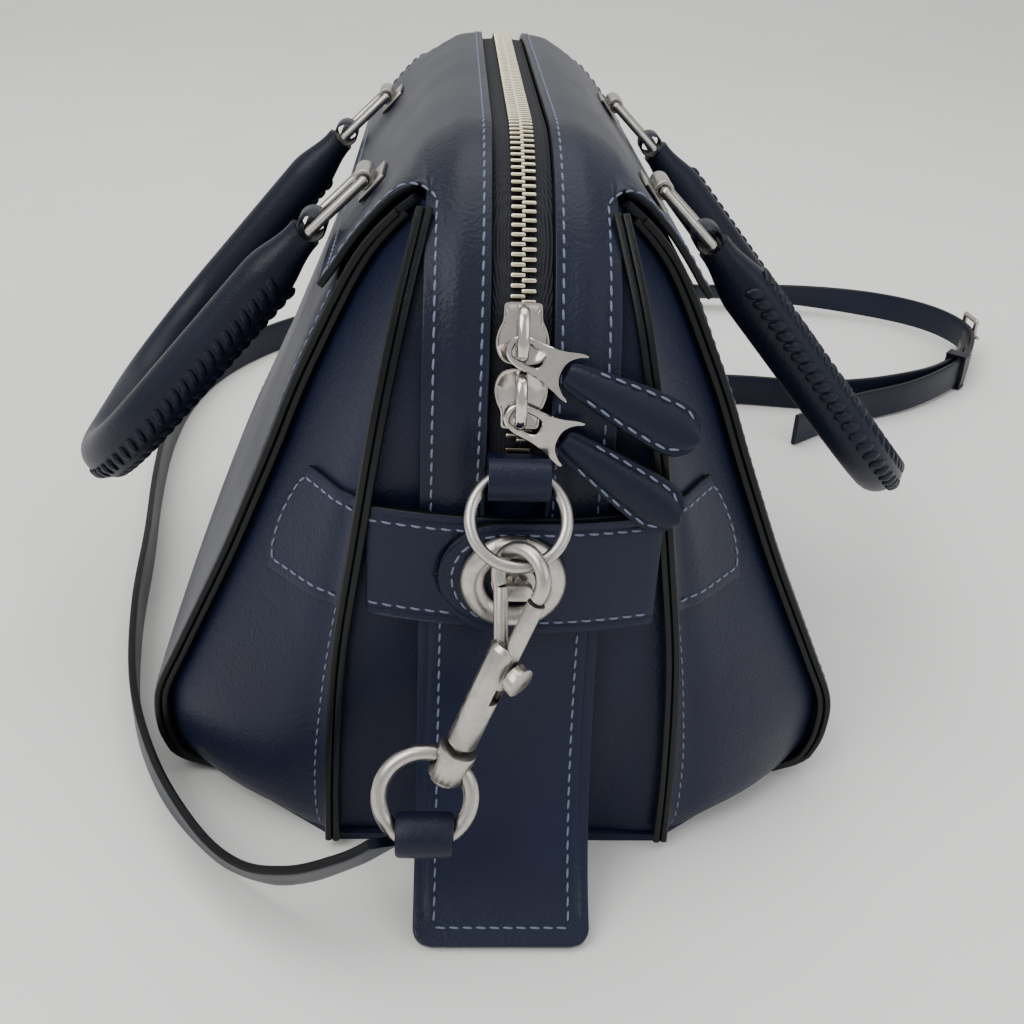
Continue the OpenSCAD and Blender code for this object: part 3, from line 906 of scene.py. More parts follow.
    def walls(self) -> None:
        """Recessed end walls of the centre compartment."""
        for name, flip in ENDS.items():
            rows = []
            for k in range(61):
                s = -(SHAPE.arch.down_to(3.5) - (SHAPE.arch.down_to(3.5) - 120) * k / 60)
                p, n = SHAPE.arch.at(s, 3.7)
                half = lookup(SHAPE.ridge, p.z) - 0.6
                row = []
                for j in range(25):
                    y = half * (j / 12 - 1)
                    dent = 1.2 * math.sin(y * 0.16 + p.z * 0.05) * smooth((abs(y) - 27) / 12)
                    row.append(Vector((p.x, y, p.z)) - n * (1.0 + dent * 0.5))
                rows.append(row)
            obj = sheet(f"{name}_end_wall", rows, Look.LEATHER, fixed(Vector((-1, 0, 0))), 1.8, flip)
            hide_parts(f"{name}_inner_gusset")

    def build(self) -> str:
        """Make every piece of the shell.

        Returns:
            A line for the log.
        """
        self.top()
        self.panels()
        self.gussets()
        self.welts()
        self.walls()
        return "top leather, panels, gussets and end walls"


class EndFittings:
    """Tabs, side bands, turnlock flaps, patches and ring tabs."""

    tab_line: Table = ((1, 96.5), (2.6, 84), (5, 70), (8.4, 56), (13, 42), (19, 29.5), (27, 18), (36, 9.2),
                       (46, 3.2))
    tab_half: float = 28.0
    tab_corner: float = 6.0
    tab_seam: float = 21.3
    band_x: float = -167.5
    band_z: float = 116.0
    band_half: float = 19.0
    band_bow: float = 150.0
    flap_end: float = 3.0
    flap_seam: float = 15.2

    def tabs(self) -> None:
        """Tabs that hang from the bands and spread on the table."""
        fine = evenly(spline([Vector((-161 - x, 0, z)) for x, z in self.tab_line], 8), 0.7)
        path = fine[:-12:4] + fine[-12:]
        run = [0.0]
        for a, b in zip(path, path[1:]):
            run.append(run[-1] + (b - a).length)
        columns = [-1, -0.94, -0.895, -0.88, -0.86, -0.8, -0.72, -0.6, -0.4, -0.2, 0]
        columns += [-c for c in columns[-2::-1]]
        rows, edges = [], []
        for p, s, d in zip(path, run, tangents(path)):
            left = run[-1] - s
            into = max(self.tab_corner - left, 0.0)
            half = self.tab_half - self.tab_corner + math.sqrt(self.tab_corner ** 2 - into ** 2)
            n = Vector((d.z, 0, -d.x))
            n = n if n.x < 0 else -n
            bow = 0.8 * math.sin(math.pi * s / run[-1])
            row = []
            for c in columns:
                crease = -0.28 if abs(abs(c) - 0.88) < 0.01 and left > 8 else 0
                row.append(p + Vector((0, half * c, 0)) + n * (crease + bow * (1 - c * c)))
            rows.append(row)
            edges.append((p, n, left))
        for name, flip in ENDS.items():
            outward = fixed(Vector((-1, 0, 0.7)))
            obj = sheet(f"{name}_end_tab_leather", rows, Look.LEATHER, outward, 2.5, flip, rounding=0.3)
            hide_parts(f"{name}_end_tab")
            for side in (-1, 1):
                shift = Vector((0, side * self.tab_seam, 0))
                THREAD.sew([p + shift + n * 0.35 for p, n, left in edges if left > 6.5], outward, flip)
            p, n, _ = edges[-9]
            THREAD.sew([p + Vector((0, self.tab_seam * (k / 10 - 1), 0)) + n * 0.2 for k in range(21)],
                       fixed(Vector((-1, 0, 1))), flip)

    def bow(self, y: float, out: float) -> float:
        """X of the bowed band.

        Args:
            y: distance from the middle.
            out: how far outside the band's own outer face.
        Returns:
            The X value.
        """
        return self.band_x + self.band_bow - math.sqrt((self.band_bow + out) ** 2 - y * y)

    def bands(self) -> None:
        """Side bands and the flaps over them."""
        marks = [0, 0.5, 2.2, 2.6, 3.0, 4.5, 8, 14, 19]
        for name, flip in ENDS.items():
            ys = [-44 + 2.2 * k for k in range(41)]
            rows = []
            for y in ys:
                row = []
                for side in (-1, 1):
                    part = []
                    for m in marks:
                        x = self.bow(y, -0.25 if m == 2.6 else 0)
                        part.append(Vector((x, y, self.band_z + side * (self.band_half - m))))
                    row += part if side < 0 else part[-2::-1]
                rows.append(row)
            obj = sheet(f"{name}_band_leather", rows, Look.LEATHER, fixed(Vector((-1, 0, 0))), 2.1, flip)
            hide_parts(f"{name}_band")
            for z in (101.6, 130.4):
                THREAD.sew([Vector((self.bow(y, 0.05), y, z)) for y in ys], fixed(Vector((-1, 0, 0))), flip)
            ys = [-44 + 3 * k for k in range(16)] + [self.flap_end + self.band_half * math.sin(math.radians(a))
                                                    for a in (8, 18, 28, 38, 48, 57, 65, 72, 78, 83, 87, 89.5)]
            rows = []
            for y in ys:
                half = math.sqrt(self.band_half ** 2 - max(y - self.flap_end, 0.0) ** 2)
                row = []
                for c in (-1, -0.97, -0.88, -0.86, -0.84, -0.7, -0.45, -0.2, 0, 0.2, 0.45, 0.7, 0.84, 0.86, 0.88,
                          0.97, 1):
                    dip = -0.25 if abs(abs(c) - 0.86) < 0.01 else 0
                    row.append(Vector((self.bow(y, 2.7 + dip), y, self.band_z + half * c)))
                rows.append(row)
            obj = sheet(f"{name}_flap_leather", rows, Look.LEATHER, fixed(Vector((-1, 0, 0))), 2.3, flip)
            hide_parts(f"{name}_band_flap")
            r = self.flap_seam
            line = [Vector((0, self.flap_end - 45 + 45 * k / 12, self.band_z + r)) for k in range(13)]
            line += [Vector((0, self.flap_end + r * math.sin(a), self.band_z + r * math.cos(a)))
                     for a in [k * math.pi / 16 for k in range(1, 16)]]
            line += [Vector((0, self.flap_end - 45 * k / 12, self.band_z - r)) for k in range(13)]
            for p in line:
                p.x = self.bow(p.y, 2.75)
            THREAD.sew(line, fixed(Vector((-1, 0, 0))), flip)

    def patches(self, shell: BagBody) -> None:
        """Ends of the bands on the gussets.

        Args:
            shell: gives the gusset's face.
        """
        out = Vector((-0.75, 0.62, 0))
        first = True
        for name, flip in QUARTERS.items():
            rows = []
            for k in range(15):
                z = 97 + 38 * k / 14
                far = 0.66 + 0.1 * math.sin(math.pi * k / 14) - 0.05 * k / 14
                rows.append([shell.gusset(z, 0.02 + (far - 0.02) * j / 14) + out * 2.0 for j in range(15)])
            obj = sheet(f"{name}_patch_leather", rows, Look.LEATHER, fixed(Vector((-1, 0.8, 0))), 1.7, flip)
            if first:
                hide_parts("gusset_patches")
                first = False
            edge = [shell.gusset(101, 0.08 + 0.54 * k / 12) + out * 2.05 for k in range(13)]
            edge += [shell.gusset(101 + 30 * k / 10, 0.66 + 0.05 * math.sin(math.pi * k / 10) - 0.03 * k / 10)
                     + out * 2.05 for k in range(11)]
            edge += [shell.gusset(131, 0.62 - 0.54 * k / 12) + out * 2.05 for k in range(13)]
            THREAD.sew(edge, fixed(out), flip)

    def ring_tabs(self) -> None:
        """Leather loops that hold the upper rings."""
        lean = math.radians(39)
        centre = Vector((-171 - 2.2 * math.sin(lean), 0, 152.5 - 2.2 * math.cos(lean)))
        path = [Vector((-161.6, 0, 147.2)), Vector((-165, 0, 146.2)), Vector((-169, 0, 145.2))]
        path += [centre + 6.1 * Vector((math.cos(a), 0, math.sin(a))) for a in
                 [math.radians(250 - 14 * k) for k in range(13)]]
        path += [Vector((-168.5, 0, 155.2)), Vector((-165, 0, 153.9)), Vector((-161.6, 0, 153.4))]
        line = spline(path, 3)
        for name, flip in ENDS.items():
            rows = [[p + Vector((0, y, 0)) for y in (-8.7, -8.3, -7, -4, 0, 4, 7, 8.3, 8.7)] for p in line]
            obj = sheet(f"{name}_ring_tab_leather", rows, Look.LEATHER, lambda p: p - centre, 1.8, flip)
            if name == "left":
                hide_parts("ring_tabs")

    def build(self, shell: BagBody) -> str:
        """Make the fittings.

        Args:
            shell: the leather shell.
        Returns:
            A line for the log.
        """
        self.tabs()
        self.bands()
        self.patches(shell)
        self.ring_tabs()
        return "tabs, bands, flaps, patches and ring tabs"


class Zip:
    """Tape, single teeth, and the pulls."""

    pitch: float = 3.05
    angles: dict[str, float] = {"upper": 24.0, "lower": 10.4}
    hang: float = -115.0
    pull_from: float = 18.0
    plate: float = 1.5

    def tape(self) -> None:
        """Two woven tapes beside the chain."""
        end = SHAPE.arch.down_to(149.5)
        for name, flip in SIDES.items():
            rows = []
            for k in range(161):
                p, n = SHAPE.arch.at(-end + 2 * end * k / 160, 2.6)
                rows.append([Vector((p.x, y, p.z)) - n * (0.5 * smooth((y - 3) / 5)) for y in (0.15, 2, 4, 6, 8.4)])
            obj = sheet(f"{name}_zip_tape", rows, Look.TAPE, away, 0.7, flip, rounding=0.1)
            if name == "back":
                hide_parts("zip_tape")

    def teeth(self) -> None:
        """Interlocked metal teeth."""
        bm = bmesh.new()
        bmesh.ops.create_cube(bm, size=1.0)
        bmesh.ops.scale(bm, vec=(1.25, 4.3, 2.0), verts=bm.verts)
        bmesh.ops.bevel(bm, geom=bm.edges[:], offset=0.42, segments=2, affect="EDGES", profile=0.5)
        bm.verts.index_update()
        shape = [v.co.copy() for v in bm.verts]
        faces = [tuple(v.index for v in f.verts) for f in bm.faces]
        bm.free()
        piece = Piece("zip_chain", (Look.TEETH,))
        end = SHAPE.arch.down_to(157)
        count = int(2 * end / self.pitch * 2)
        for k in range(count):
            side = 1 if k % 2 else -1
            p, n = SHAPE.arch.at(-end + k * self.pitch / 2, 1.25)
            along = Vector((n.z, 0, -n.x))
            centre = Vector((p.x, side * 1.55, p.z))
            piece.add([centre + along * c.x + Vector((0, c.y, 0)) + n * c.z for c in shape], faces)
        obj = piece.build(smooth_angle=50)
        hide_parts("zip_teeth")

    @staticmethod
    def corner(name: str) -> Matrix:
        """Place of a slider on the top corner of the left end: -X outwards, Z uphill.

        Args:
            name: which slider.
        Returns:
            The place.
        """
        arch = SHAPE.arch
        middle = (arch.radius - arch.half, 0, arch.height - arch.radius)
        return Matrix.Translation(middle) @ Matrix.Rotation(math.radians(Zip.angles[name]), 4, "Y")

    def sliders(self) -> None:
        """Waisted slider plates with raised rims, and their crowns."""
        shape = [(0, 8.4), (3.2, 8.4), (5.2, 8.1), (5.5, 6.2), (5.7, 3.4), (6.9, 0.8), (7.6, -2.4), (7.1, -5.4),
                 (5.4, -7.8), (2.6, -8.6), (0, -8.7)]
        half = spline([Vector((y, v, 0)) for y, v in shape], 3)
        loop = half + [Vector((-p.x, p.y, 0)) for p in half[-2:0:-1]]
        crown = [(6.3, 1.2), (6.3, 3.4), (5.4, 5.2), (3.0, 6.3), (0, 6.6), (-3.2, 6.3), (-5.9, 5.3), (-6.9, 3.4),
                 (-6.9, 1.2)]
        for name, sign in (("upper", 1), ("lower", -1)):
            place = self.corner(name)
            piece = Piece(f"{name}_slider_body", (Look.SLIDER,), f"{name}_slider")
            rings = []
            for f, h in ((0.97, 0.3), (1, 0.5), (1, 1.6), (0.97, 1.95), (0.9, 1.95), (0.86, 1.55), (0.4, 1.55)):
                r = SHAPE.arch.radius + h
                turns = [p.y * f * sign / SHAPE.arch.radius for p in loop]
                rings.append([place @ Vector((-r * math.cos(a), p.x * f, r * math.sin(a)))
                              for a, p in zip(turns, loop)])
            piece.tube(rings)
            path = spline([Vector((-SHAPE.arch.radius - h, 0, v)) for v, h in crown], 4)
            rings = []
            for p, d in zip(path, tangents(path)):
                wide = Vector((0, 1, 0))
                rings.append([place @ v for v in oval(p, wide * 1.65, d.cross(wide), 16)])
            piece.tube(rings)
            obj = piece.build(smooth_angle=50)
            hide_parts(f"{name}_slider")

    def pullers(self) -> None:
        """Flat metal pullers: a ring round the crown, and two horns that hold the leather."""
        shape = [(16, 0), (16.2, 2), (17, 3.8), (18.2, 5.1), (19.4, 6.0), (20.6, 6.6), (20.2, 7.2), (18.2, 6.8),
                 (15, 5.7), (11, 4.9), (7, 4.6), (4, 4.5), (1.4, 3.7), (-0.3, 2.1), (-0.8, 0)]
        half = spline([Vector((x, y, 0)) for x, y in shape], 3)
        loop = half + [Vector((p.x, -p.y, 0)) for p in half[-2:0:-1]]
        eye = Vector((5.5, 0, 0))
        for name in ("upper", "lower"):
            place = self.puller_place(name)
            piece = Piece(f"{name}_puller_body", (Look.SLIDER,), f"{name}_puller")
            rings = []
            for p in loop:
                d = (p - eye).normalized()
                hole = eye + Vector((4.5 * math.copysign(abs(d.x) ** 0.55, d.x),
                                     2.6 * math.copysign(abs(d.y) ** 0.55, d.y), 0))
                step = 0.4 * (hole - p).normalized()
                low, high = Vector((0, 0, -self.plate / 2)), Vector((0, 0, self.plate / 2))
                rings.append([place @ v for v in (p + low + step, p + low * 0.5, p + high * 0.5, p + high + step,
                                                  hole + high - step, hole + high * 0.5, hole + low * 0.5,
                                                  hole + low - step)])
            piece.tube(rings, closed=True)
            obj = piece.build(smooth_angle=35)
            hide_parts(f"{name}_puller")

    def puller_place(self, name: str) -> Matrix:
        """Place of a puller: X along it, Z out of the bag.

        Args:
            name: which puller.
        Returns:
            The place.
        """
        return (self.corner(name) @ Matrix.Translation((-79.4, 3.44, -3.6))
                @ Matrix.Rotation(math.radians(-90), 4, "Y") @ Matrix.Rotation(math.radians(self.hang), 4, "Z"))

    def pulls(self) -> None:
        """Padded leather pulls on the two pullers."""
        shape = [(17.3, 2.9), (19.4, 4.2), (28, 5.6), (38, 7.0), (46, 7.7), (51, 7.8), (54.6, 7.0), (57.2, 4.9),
                 (58.4, 2.2)]
        outline = [(p.x, p.y) for p in spline([Vector((u, w, 0)) for u, w in shape], 3)]
        section = ((1, 0.4), (1, -0.4), (0.95, -0.8), (0.7, -1), (0, -1.02), (-0.7, -1), (-0.95, -0.8), (-1, -0.4),
                   (-1, 0.4), (-0.96, 0.78), (-0.8, 0.84), (-0.7, 0.88), (-0.6, 1.3), (-0.3, 1.62), (0, 1.7),
                   (0.3, 1.62), (0.6, 1.3), (0.7, 0.88), (0.8, 0.84), (0.96, 0.78))
        for name, droop in (("upper", 0.0), ("lower", -9.0)):
            place = (self.puller_place(name) @ Matrix.Translation((self.pull_from, 0, 0))
                     @ Matrix.Rotation(math.radians(droop), 4, "Z") @ Matrix.Translation((-self.pull_from, 0, 0)))
            piece = Piece(f"{name}_pull_leather", (Look.STRAP, Look.EDGE), f"{name}_pull")
            piece.tube([[place @ Vector((u, w * a, 1.9 * b)) for a, b in section] for u, w in outline])
            n = len(section)
            piece.slots = [1 if len(f) == 4 and f[0] % n in (0, 1, 7, 8) else 0 for f in piece.faces]
            obj = piece.build()
            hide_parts(f"{name}_pull")
            side = [(u, w * 0.8) for u, w in outline if 24 < u < 55.5]
            row = [place @ Vector((u, w, 1.62)) for u, w in side + [(56.4, 0)] + [(u, -w) for u, w in side[::-1]]]
            up = place.to_3x3() @ Vector((0, 0, 1))
            THREAD.sew(row, fixed(up), body=f"{name}_pull", lift=0.3)

    def build(self) -> str:
        """Make the zip.

        Returns:
            A line for the log.
        """
        self.tape()
        self.teeth()
        self.sliders()
        self.pullers()
        self.pulls()
        return "tape, teeth and pulls"


class Handles:
    """Rolled handles with a laced seam."""

    anchor: Vector = Vector((0, 49, 208))
    link: Vector = 24 * Vector((0, 0.72, -0.694))
    slope: float = math.radians(49.2)
    half: float = 70
    drop: float = 138
    corner: float = 50
    radius: float = 9.2

    def build(self) -> str:
        """Make both handles.

        Returns:
            A line for the log.
        """
        down = Vector((0, math.cos(self.slope), -math.sin(self.slope)))
        normal = Vector((0, math.sin(self.slope), math.cos(self.slope)))
        origin = self.anchor + self.link
        leg = self.drop - self.corner
        flat = [(-self.half, 4.0), (-self.half, leg)]
        flat += [(-self.half + self.corner - self.corner * math.cos(a), leg + self.corner * math.sin(a))
                 for a in [math.radians(6 * k) for k in range(1, 15)]]
        flat += [(-20, self.drop), (20, self.drop)]
        flat += [(-x, t) for x, t in flat[-3::-1]]
        line = evenly([origin + Vector((x, 0, 0)) + down * t for x, t in flat], 3.0)
        total = len(line) - 1
        outs = [normal.cross(d) for d in tangents(line)]
        centre = origin + down * 60
        outs = [o if o.dot(p - centre) > 0 else -o for o, p in zip(outs, line)]
        for name, flip in SIDES.items():
            seam = math.radians(-42 if name == "back" else 38)
            piece = Piece(f"{name}_handle_leather", (Look.HANDLE,), f"{name}_grip")
            rings = []
            for i, (p, o) in enumerate(zip(line, outs)):
                near = min(i, total - i) * 3.0
                r = self.radius * (0.62 + 0.38 * smooth((near - 2) / 20))
                ring = []
                for q in range(28):
                    a = 2 * math.pi * q / 28
                    lift = 1 + 0.13 * math.exp(-((math.remainder(a - seam, 2 * math.pi)) / 0.42) ** 2)
                    ring.append(p + (o * math.cos(a) + normal * math.sin(a)) * r * lift)
                rings.append(ring)
            piece.tube(rings)
            for end in (-self.half, self.half):
                eye = origin + Vector((end, 0, 0))
                for stops in (((-6.6, 4.3), (-6.1, 4.3), (-5.3, 4.9), (0, 4.9), (5.3, 4.9), (6.1, 4.3), (6.6, 4.3)),
                              ((6.6, 2.3), (0, 2.3), (-6.6, 2.3))):
                    piece.tube([oval(eye + Vector((x, 0, 0)), down * r, normal * r, 24) for x, r in stops],
                               caps=False)
            obj = piece.build(flip)
            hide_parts(f"{name}_handle")
            self.lace(name, flip, evenly(line, 4.9), normal, centre, seam)
        return "two rolled handles with lacing"

    def lace(self, name: str, flip: Flip, line: Sequence[Vector], normal: Vector, centre: Vector,
             seam: float) -> None:
        """Wrap the seam with lacing.

        Args:
            name: which handle.
            flip: signs for X and Y.
            line: the handle's middle line.
            normal: across the handle's plane.
            centre: middle of the loop.
            seam: angle of the seam round the handle.
        """
        piece = Piece(f"{name}_handle_lacing", (Look.HANDLE, Look.THREAD), f"{name}_grip")
        dirs = tangents(line)
        for i in range(4, len(line) - 4):
            p, d = line[i], dirs[i]
            o = normal.cross(d)
            o = o if o.dot(p - centre) > 0 else -o
            for shift, slant, size in ((-0.42, 0.75, 1.0), (0.42, -0.6, 0.9)):
                a = seam + shift
                up = o * math.cos(a) + normal * math.sin(a)
                side = d.cross(up).normalized()
                run = (d * slant + side).normalized()
                cross = run.cross(up).normalized()
                mid = p + up * (self.radius * 1.06)
                rings = []
                for u in (-1, -0.8, -0.4, 0, 0.4, 0.8, 1):
                    w = 1.95 * size * math.sqrt(max(1 - u * u * 0.86, 0.02))
                    base = mid + run * 3.5 * u - up * 0.6 * u * u
                    rings.append(oval(base, cross * w, up * w * 0.75, 8))
                piece.tube(rings)
        piece.build(flip)
        log.info("%s handle laces: %d", name, 2 * (len(line) - 8))


class ShoulderStrap:
    """The strap lying on its edge round the bag, in two runs joined at the buckle."""

    long_route = (
        (-201, 36.6, 41.5, -45), (-200, 48, 33, -45), (-196, 64, 23, -42), (-187, 80, 15, -35), (-170, 98, 11, -20),
        (-138, 120, 10, -6), (-95, 138, 10, 0), (-40, 150, 10, 0), (20, 158, 10, 0), (80, 167, 10, 0),
        (140, 173, 10, 0), (195, 172, 10, 0), (245, 160, 10, 0), (292, 132, 10, 0), (330, 90, 10, 0),
        (360, 35, 10, 0), (382, -35, 10, 8), (394, -110, 11, 25), (399, -180, 13, 45), (396, -245, 13, 25),
        (378, -300, 13, 0), (348, -331, 14, 0), (310, -341, 14, 0), (272, -327, 12, 0), (243, -303, 12, 0),
        (216, -268, 11, 0), (194, -224, 10, 0), (164, -184, 10, 0))
    short_route = (
        (201, -38, 43, 0), (203, -52, 34, 0), (208, -70, 24, 0), (216, -96, 15, 0), (222, -130, 10.5, 0),
        (221, -168, 10, 0), (217, -205, 10, 0), (219, -238, 11, 0), (230, -272, 12, 0), (246.8, -298.8, 12, 0),
        (273.8, -322.4, 12, 0), (302, -334, 14, 0))
    width: float = 19.0
    thick: float = 3.0
    keeper_at: Vector = Vector((259, -314.3, 12.2))
    keeper_turn: float = -39.6

    def run(self, name: str, route: Sequence[tuple[float, ...]]) -> tuple[bpy.types.Object, list[Vector]]:
        """Make one run of the strap.

        Args:
            name: the CAD node it stands for.
            route: x, y, z and turn, for each point.
        Returns:
            The object and its middle line.
        """
        pts = [Vector(r[:3]) for r in route]
        turns = [Vector((r[3], 0, 0)) for r in route]
        line, turn = spline(pts, 8), [v.x for v in spline(turns, 8)]
        dirs = tangents(line)
        half, slim = self.width / 2, self.thick / 2
        section = ((1, 0), (0.995, 0.55), (0.965, 0.88), (0.91, 1), (0.5, 1.03), (0, 1.04), (-0.5, 1.03),
                   (-0.91, 1), (-0.965, 0.88), (-0.995, 0.55), (-1, 0), (-0.995, -0.55), (-0.965, -0.88),
                   (-0.91, -1), (-0.5, -1.03), (0, -1.04), (0.5, -1.03), (0.91, -1), (0.965, -0.88), (0.995, -0.55))
        piece = Piece(f"{name}_leather", (Look.STRAP, Look.EDGE))
        rings = []
        for p, d, a in zip(line, dirs, turn):
            side = d.cross(Vector((0, 0, 1))).normalized()
            up = side.cross(d)
            wide = up * math.cos(math.radians(a)) + side * math.sin(math.radians(a))
            flat = d.cross(wide)
            rings.append([p + wide * u * half + flat * v * slim for u, v in section])
        piece.tube(rings)
        n = len(section)
        for f, face in enumerate(piece.faces):
            if len(face) == 4:
                k = face[0] % n
                if k in (0, 1, 8, 9, 10, 11, 18, 19):
                    piece.slots[f] = 1
        return piece.build(), line

    def build(self) -> str:
        """Returns:
            A line for the log.
        """
        said = []
        for name, route, end, carried in (
                ("strap_long", self.long_route, "bare", ()),
                ("strap_short", self.short_route, "fitting", ("buckle_frame", "buckle_prong"))):
            obj, line = self.run(name, route)
            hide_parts(name)
            length = sum((b - a).length for a, b in zip(line, line[1:]))
            said.append(f"{name} {length:.0f} mm")
        self.keeper()
        return ", ".join(said)

    def keeper(self) -> None:
        """Leather loop that holds the strap's tail."""
        spin = Matrix.Translation(self.keeper_at) @ Matrix.Rotation(math.radians(self.keeper_turn), 4, "Z")
        corners = [(-6.4, 10.2), (-5.6, 11.4), (5.6, 11.4), (6.4, 10.2), (6.8, 0), (6.4, -10.2), (5.6, -11.2),
                   (-5.6, -11.2), (-6.4, -10.2), (-6.8, 0)]
        ring = [Vector((0, y, z)) for y, z in corners + corners[:1]]
        line = spline(ring, 4)
        rows = [[spin @ (p + Vector((x, 0, 0))) for x in (-4.5, -4.1, -2.5, 0, 2.5, 4.1, 4.5)] for p in line]
        obj = sheet("strap_keeper_leather", rows, Look.STRAP, lambda p: p - self.keeper_at, 1.3, rounding=0.3)
        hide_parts("strap_keeper")


class Hardware:
    """Metal parts, and the sleeves of leather that go round the lower rings."""

    dressed: dict[Look, tuple[str, ...]] = {
        Look.NICKEL: ("turnlock_plates", "left_turn_knob", "right_turn_knob", "left_upper_ring", "right_upper_ring",
                      "left_clip_hook", "right_clip_hook", "left_clip_bolt", "right_clip_bolt", "left_clip_swivel",
                      "right_clip_swivel", "left_lower_ring", "right_lower_ring", "buckle_frame", "buckle_prong",
                      "handle_anchors", "front_handle_links", "back_handle_links"),
        Look.TEETH: ("zip_stops",),
        Look.LEATHER: ("base_panel", "front_centre_wall", "back_centre_wall"),
        Look.LINING: ("lining",),
        Look.BOARD: ("base_board",),
    }
    ring_middle: Vector = Vector((-196.6, 24.6, 55.55))
    lean: float = math.radians(23)
    strap_drop: float = 11.7
    sleeve: Table = ((-8.7, 5.5), (-8.4, 6.4), (-7.6, 6.8), (-3, 6.9), (3, 6.9), (7.6, 6.8), (8.4, 6.4),
                     (8.7, 5.5), (8.0, 4.9), (0, 4.8), (-8.0, 4.9))

    def dress(self) -> int:
        """Give CAD nodes their finish and softened edges.

        Returns:
            How many nodes were dressed.
        """
        count = 0
        for look, names in self.dressed.items():
            for name in names:
                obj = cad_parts[name]
                obj.data.materials.clear()
                obj.data.materials.append(FINISHES.of(look))
                obj.data.polygons.foreach_set("use_smooth", [True] * len(obj.data.polygons))
                weld = obj.modifiers.new("weld", "WELD")
                weld.merge_threshold = 0.02 * MM
                edge = obj.modifiers.new("soft edges", "BEVEL")
                edge.width = (0.5 if look is Look.LEATHER else 0.28) * MM
                edge.segments = 2
                edge.limit_method = "ANGLE"
                edge.angle_limit = math.radians(32)
                edge.harden_normals = True
                count += 1
        return count

    def sleeves(self) -> None:
        """Strap ends folded round the lower rings."""
        centre = self.ring_middle + self.strap_drop * Vector((-math.sin(self.lean), 0, -math.cos(self.lean)))
        for name, flip in ENDS.items():
            piece = Piece(f"{name}_strap_fold", (Look.STRAP, Look.EDGE), f"{name}_strap_ring")
            piece.tube([oval(centre + Vector((0, y, 0)), Vector((r, 0, 0)), Vector((0, 0, r)), 32)
                        for y, r in self.sleeve], closed=True)
            obj = piece.build(flip)
            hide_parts(f"{name}_strap_loop")

    def build(self) -> str:
        """Dress the metal and make the sleeves.

        Returns:
            A line for the log.
        """
        count = self.dress()
        self.sleeves()
        return f"{count} fittings dressed, two strap sleeves"


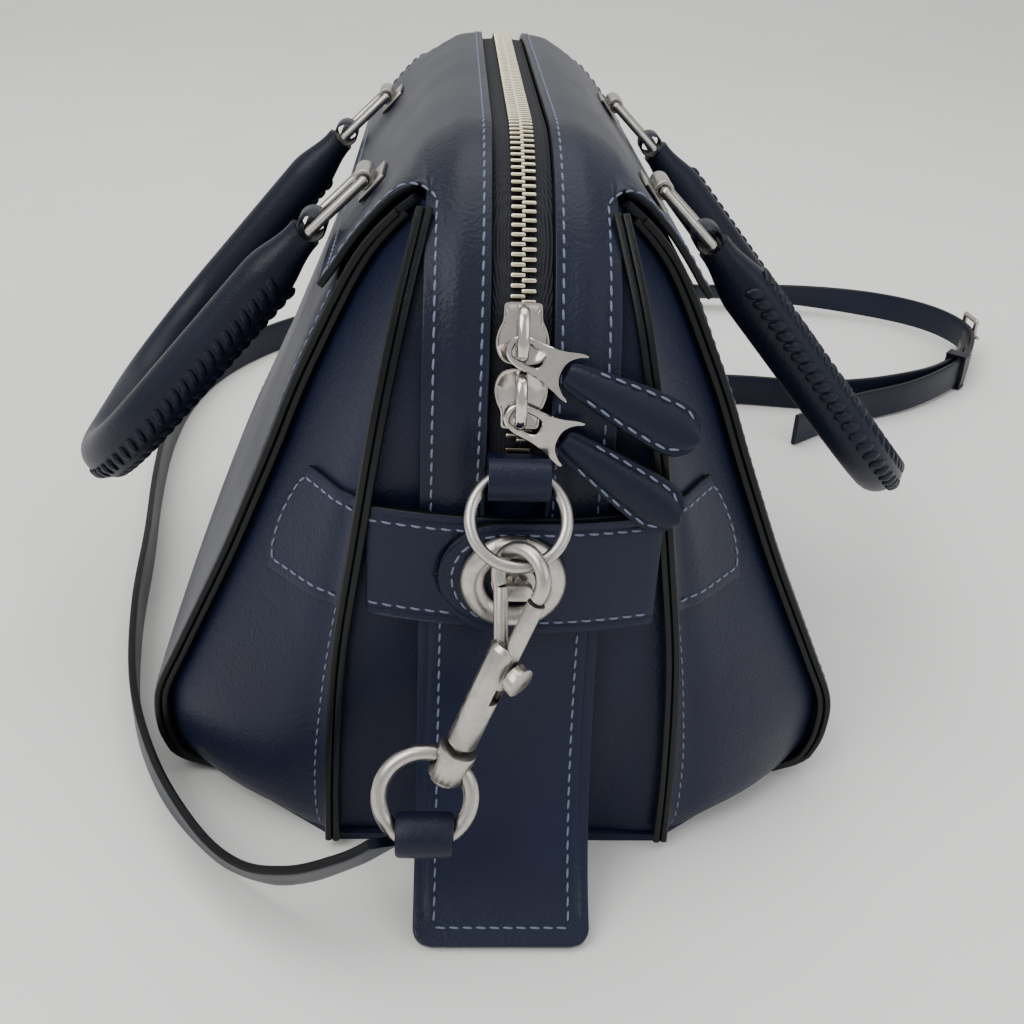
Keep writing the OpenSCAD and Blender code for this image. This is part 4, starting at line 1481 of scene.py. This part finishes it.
class Studio:
    """Pale table, soft light and the camera. Angles are in degrees, places in metres."""

    eye: tuple[float, float, float] = (-0.4684, 0.0205, 0.3072)
    pitch: float = 29.37
    yaw: float = 3.67
    roll: float = 2.99
    lens: float = 42.3
    aim: tuple[float, float, float] = (0.0, 0.0, 0.1)

    def build(self) -> str:
        """Make the stage.

        Returns:
            A line for the log.
        """
        mesh = bpy.data.meshes.new("table")
        rows = [(-3.0, 0.0), (1.6, 0.0), (2.0, 0.03), (2.35, 0.16), (2.6, 0.45), (2.7, 1.0), (2.7, 4.0)]
        verts = [(x, y, z) for x, z in rows for y in (-6.0, 6.0)]
        faces = [(2 * i, 2 * i + 2, 2 * i + 3, 2 * i + 1) for i in range(len(rows) - 1)]
        mesh.from_pydata(verts, [], faces)
        mesh.polygons.foreach_set("use_smooth", [True] * len(faces))
        mat = bpy.data.materials.new("pale table")
        mat.use_nodes = True
        g = Graph(mat.node_tree)
        bsdf = mat.node_tree.nodes["Principled BSDF"]
        co = g.add("TexCoord").outputs["Object"]
        cloud = g.add("TexNoise", {"Vector": co, "Scale": 9.0, "Detail": 5.0}).outputs[0]
        mix = g.add("Mix", {0: cloud, 6: (0.80, 0.795, 0.775, 1), 7: (0.86, 0.855, 0.835, 1)}, data_type="RGBA")
        g.tree.links.new(mix.outputs[2], bsdf.inputs["Base Color"])
        bsdf.inputs["Roughness"].default_value = 0.55
        mesh.materials.append(mat)
        table = bpy.data.objects.new("table", mesh)
        bpy.context.scene.collection.objects.link(table)
        self.light("window", (-1.0, 1.3, 1.7), 1.6, 34, (1.0, 0.99, 0.97))
        self.light("fill", (-1.1, -1.5, 1.2), 1.5, 11, (0.97, 0.98, 1.0))
        self.light("over", (0.5, 0.0, 2.2), 2.0, 29, (1.0, 0.995, 0.98))
        world = bpy.data.worlds.new("room")
        bpy.context.scene.world = world
        world.use_nodes = True
        world.node_tree.nodes["Background"].inputs[0].default_value = (0.98, 0.985, 1.0, 1)
        world.node_tree.nodes["Background"].inputs[1].default_value = 0.62
        self.camera()
        return "table, lights and camera"

    def light(self, name: str, at: tuple[float, float, float], size: float, power: float,
              colour: tuple[float, float, float]) -> None:
        """Add a soft light aimed at the bag.

        Args:
            name: its name.
            at: its place, in metres.
            size: side of the square, in metres.
            power: its power, in watts.
            colour: its colour.
        """
        data = bpy.data.lights.new(name, "AREA")
        data.size = size
        data.energy = power
        data.color = colour
        obj = bpy.data.objects.new(name, data)
        obj.location = at
        obj.rotation_euler = (Vector(self.aim) - Vector(at)).to_track_quat("-Z", "Y").to_euler()
        bpy.context.scene.collection.objects.link(obj)

    def camera(self) -> None:
        """Set the camera in front of the left end, a little above it."""
        pitch, yaw, roll = (math.radians(a) for a in (self.pitch, self.yaw, self.roll))
        ahead = Vector((math.cos(pitch) * math.cos(yaw), -math.cos(pitch) * math.sin(yaw), -math.sin(pitch)))
        right = ahead.cross(Vector((0, 0, 1))).normalized()
        up = right.cross(ahead)
        right, up = right * math.cos(roll) + up * math.sin(roll), up * math.cos(roll) - right * math.sin(roll)
        data = bpy.data.cameras.new("camera")
        data.lens = self.lens
        data.sensor_width = 36
        obj = bpy.data.objects.new("camera", data)
        turn = Matrix((right, up, -ahead)).transposed()
        obj.matrix_world = Matrix.Translation(self.eye) @ turn.to_4x4()
        bpy.context.scene.collection.objects.link(obj)
        bpy.context.scene.camera = obj


def main() -> None:
    """Build the satchel, piece by piece."""
    logging.basicConfig(level=logging.INFO, format="%(name)s: %(message)s")
    shell = BagBody()
    log.info("studio: %s", Studio().build())
    log.info("strap: %s", ShoulderStrap().build())
    log.info("hardware: %s", Hardware().build())
    log.info("shell: %s", shell.build())
    log.info("ends: %s", EndFittings().build(shell))
    log.info("zip: %s", Zip().build())
    log.info("handles: %s", Handles().build())
    THREAD.finish()


if __name__ == "__main__":
    main()
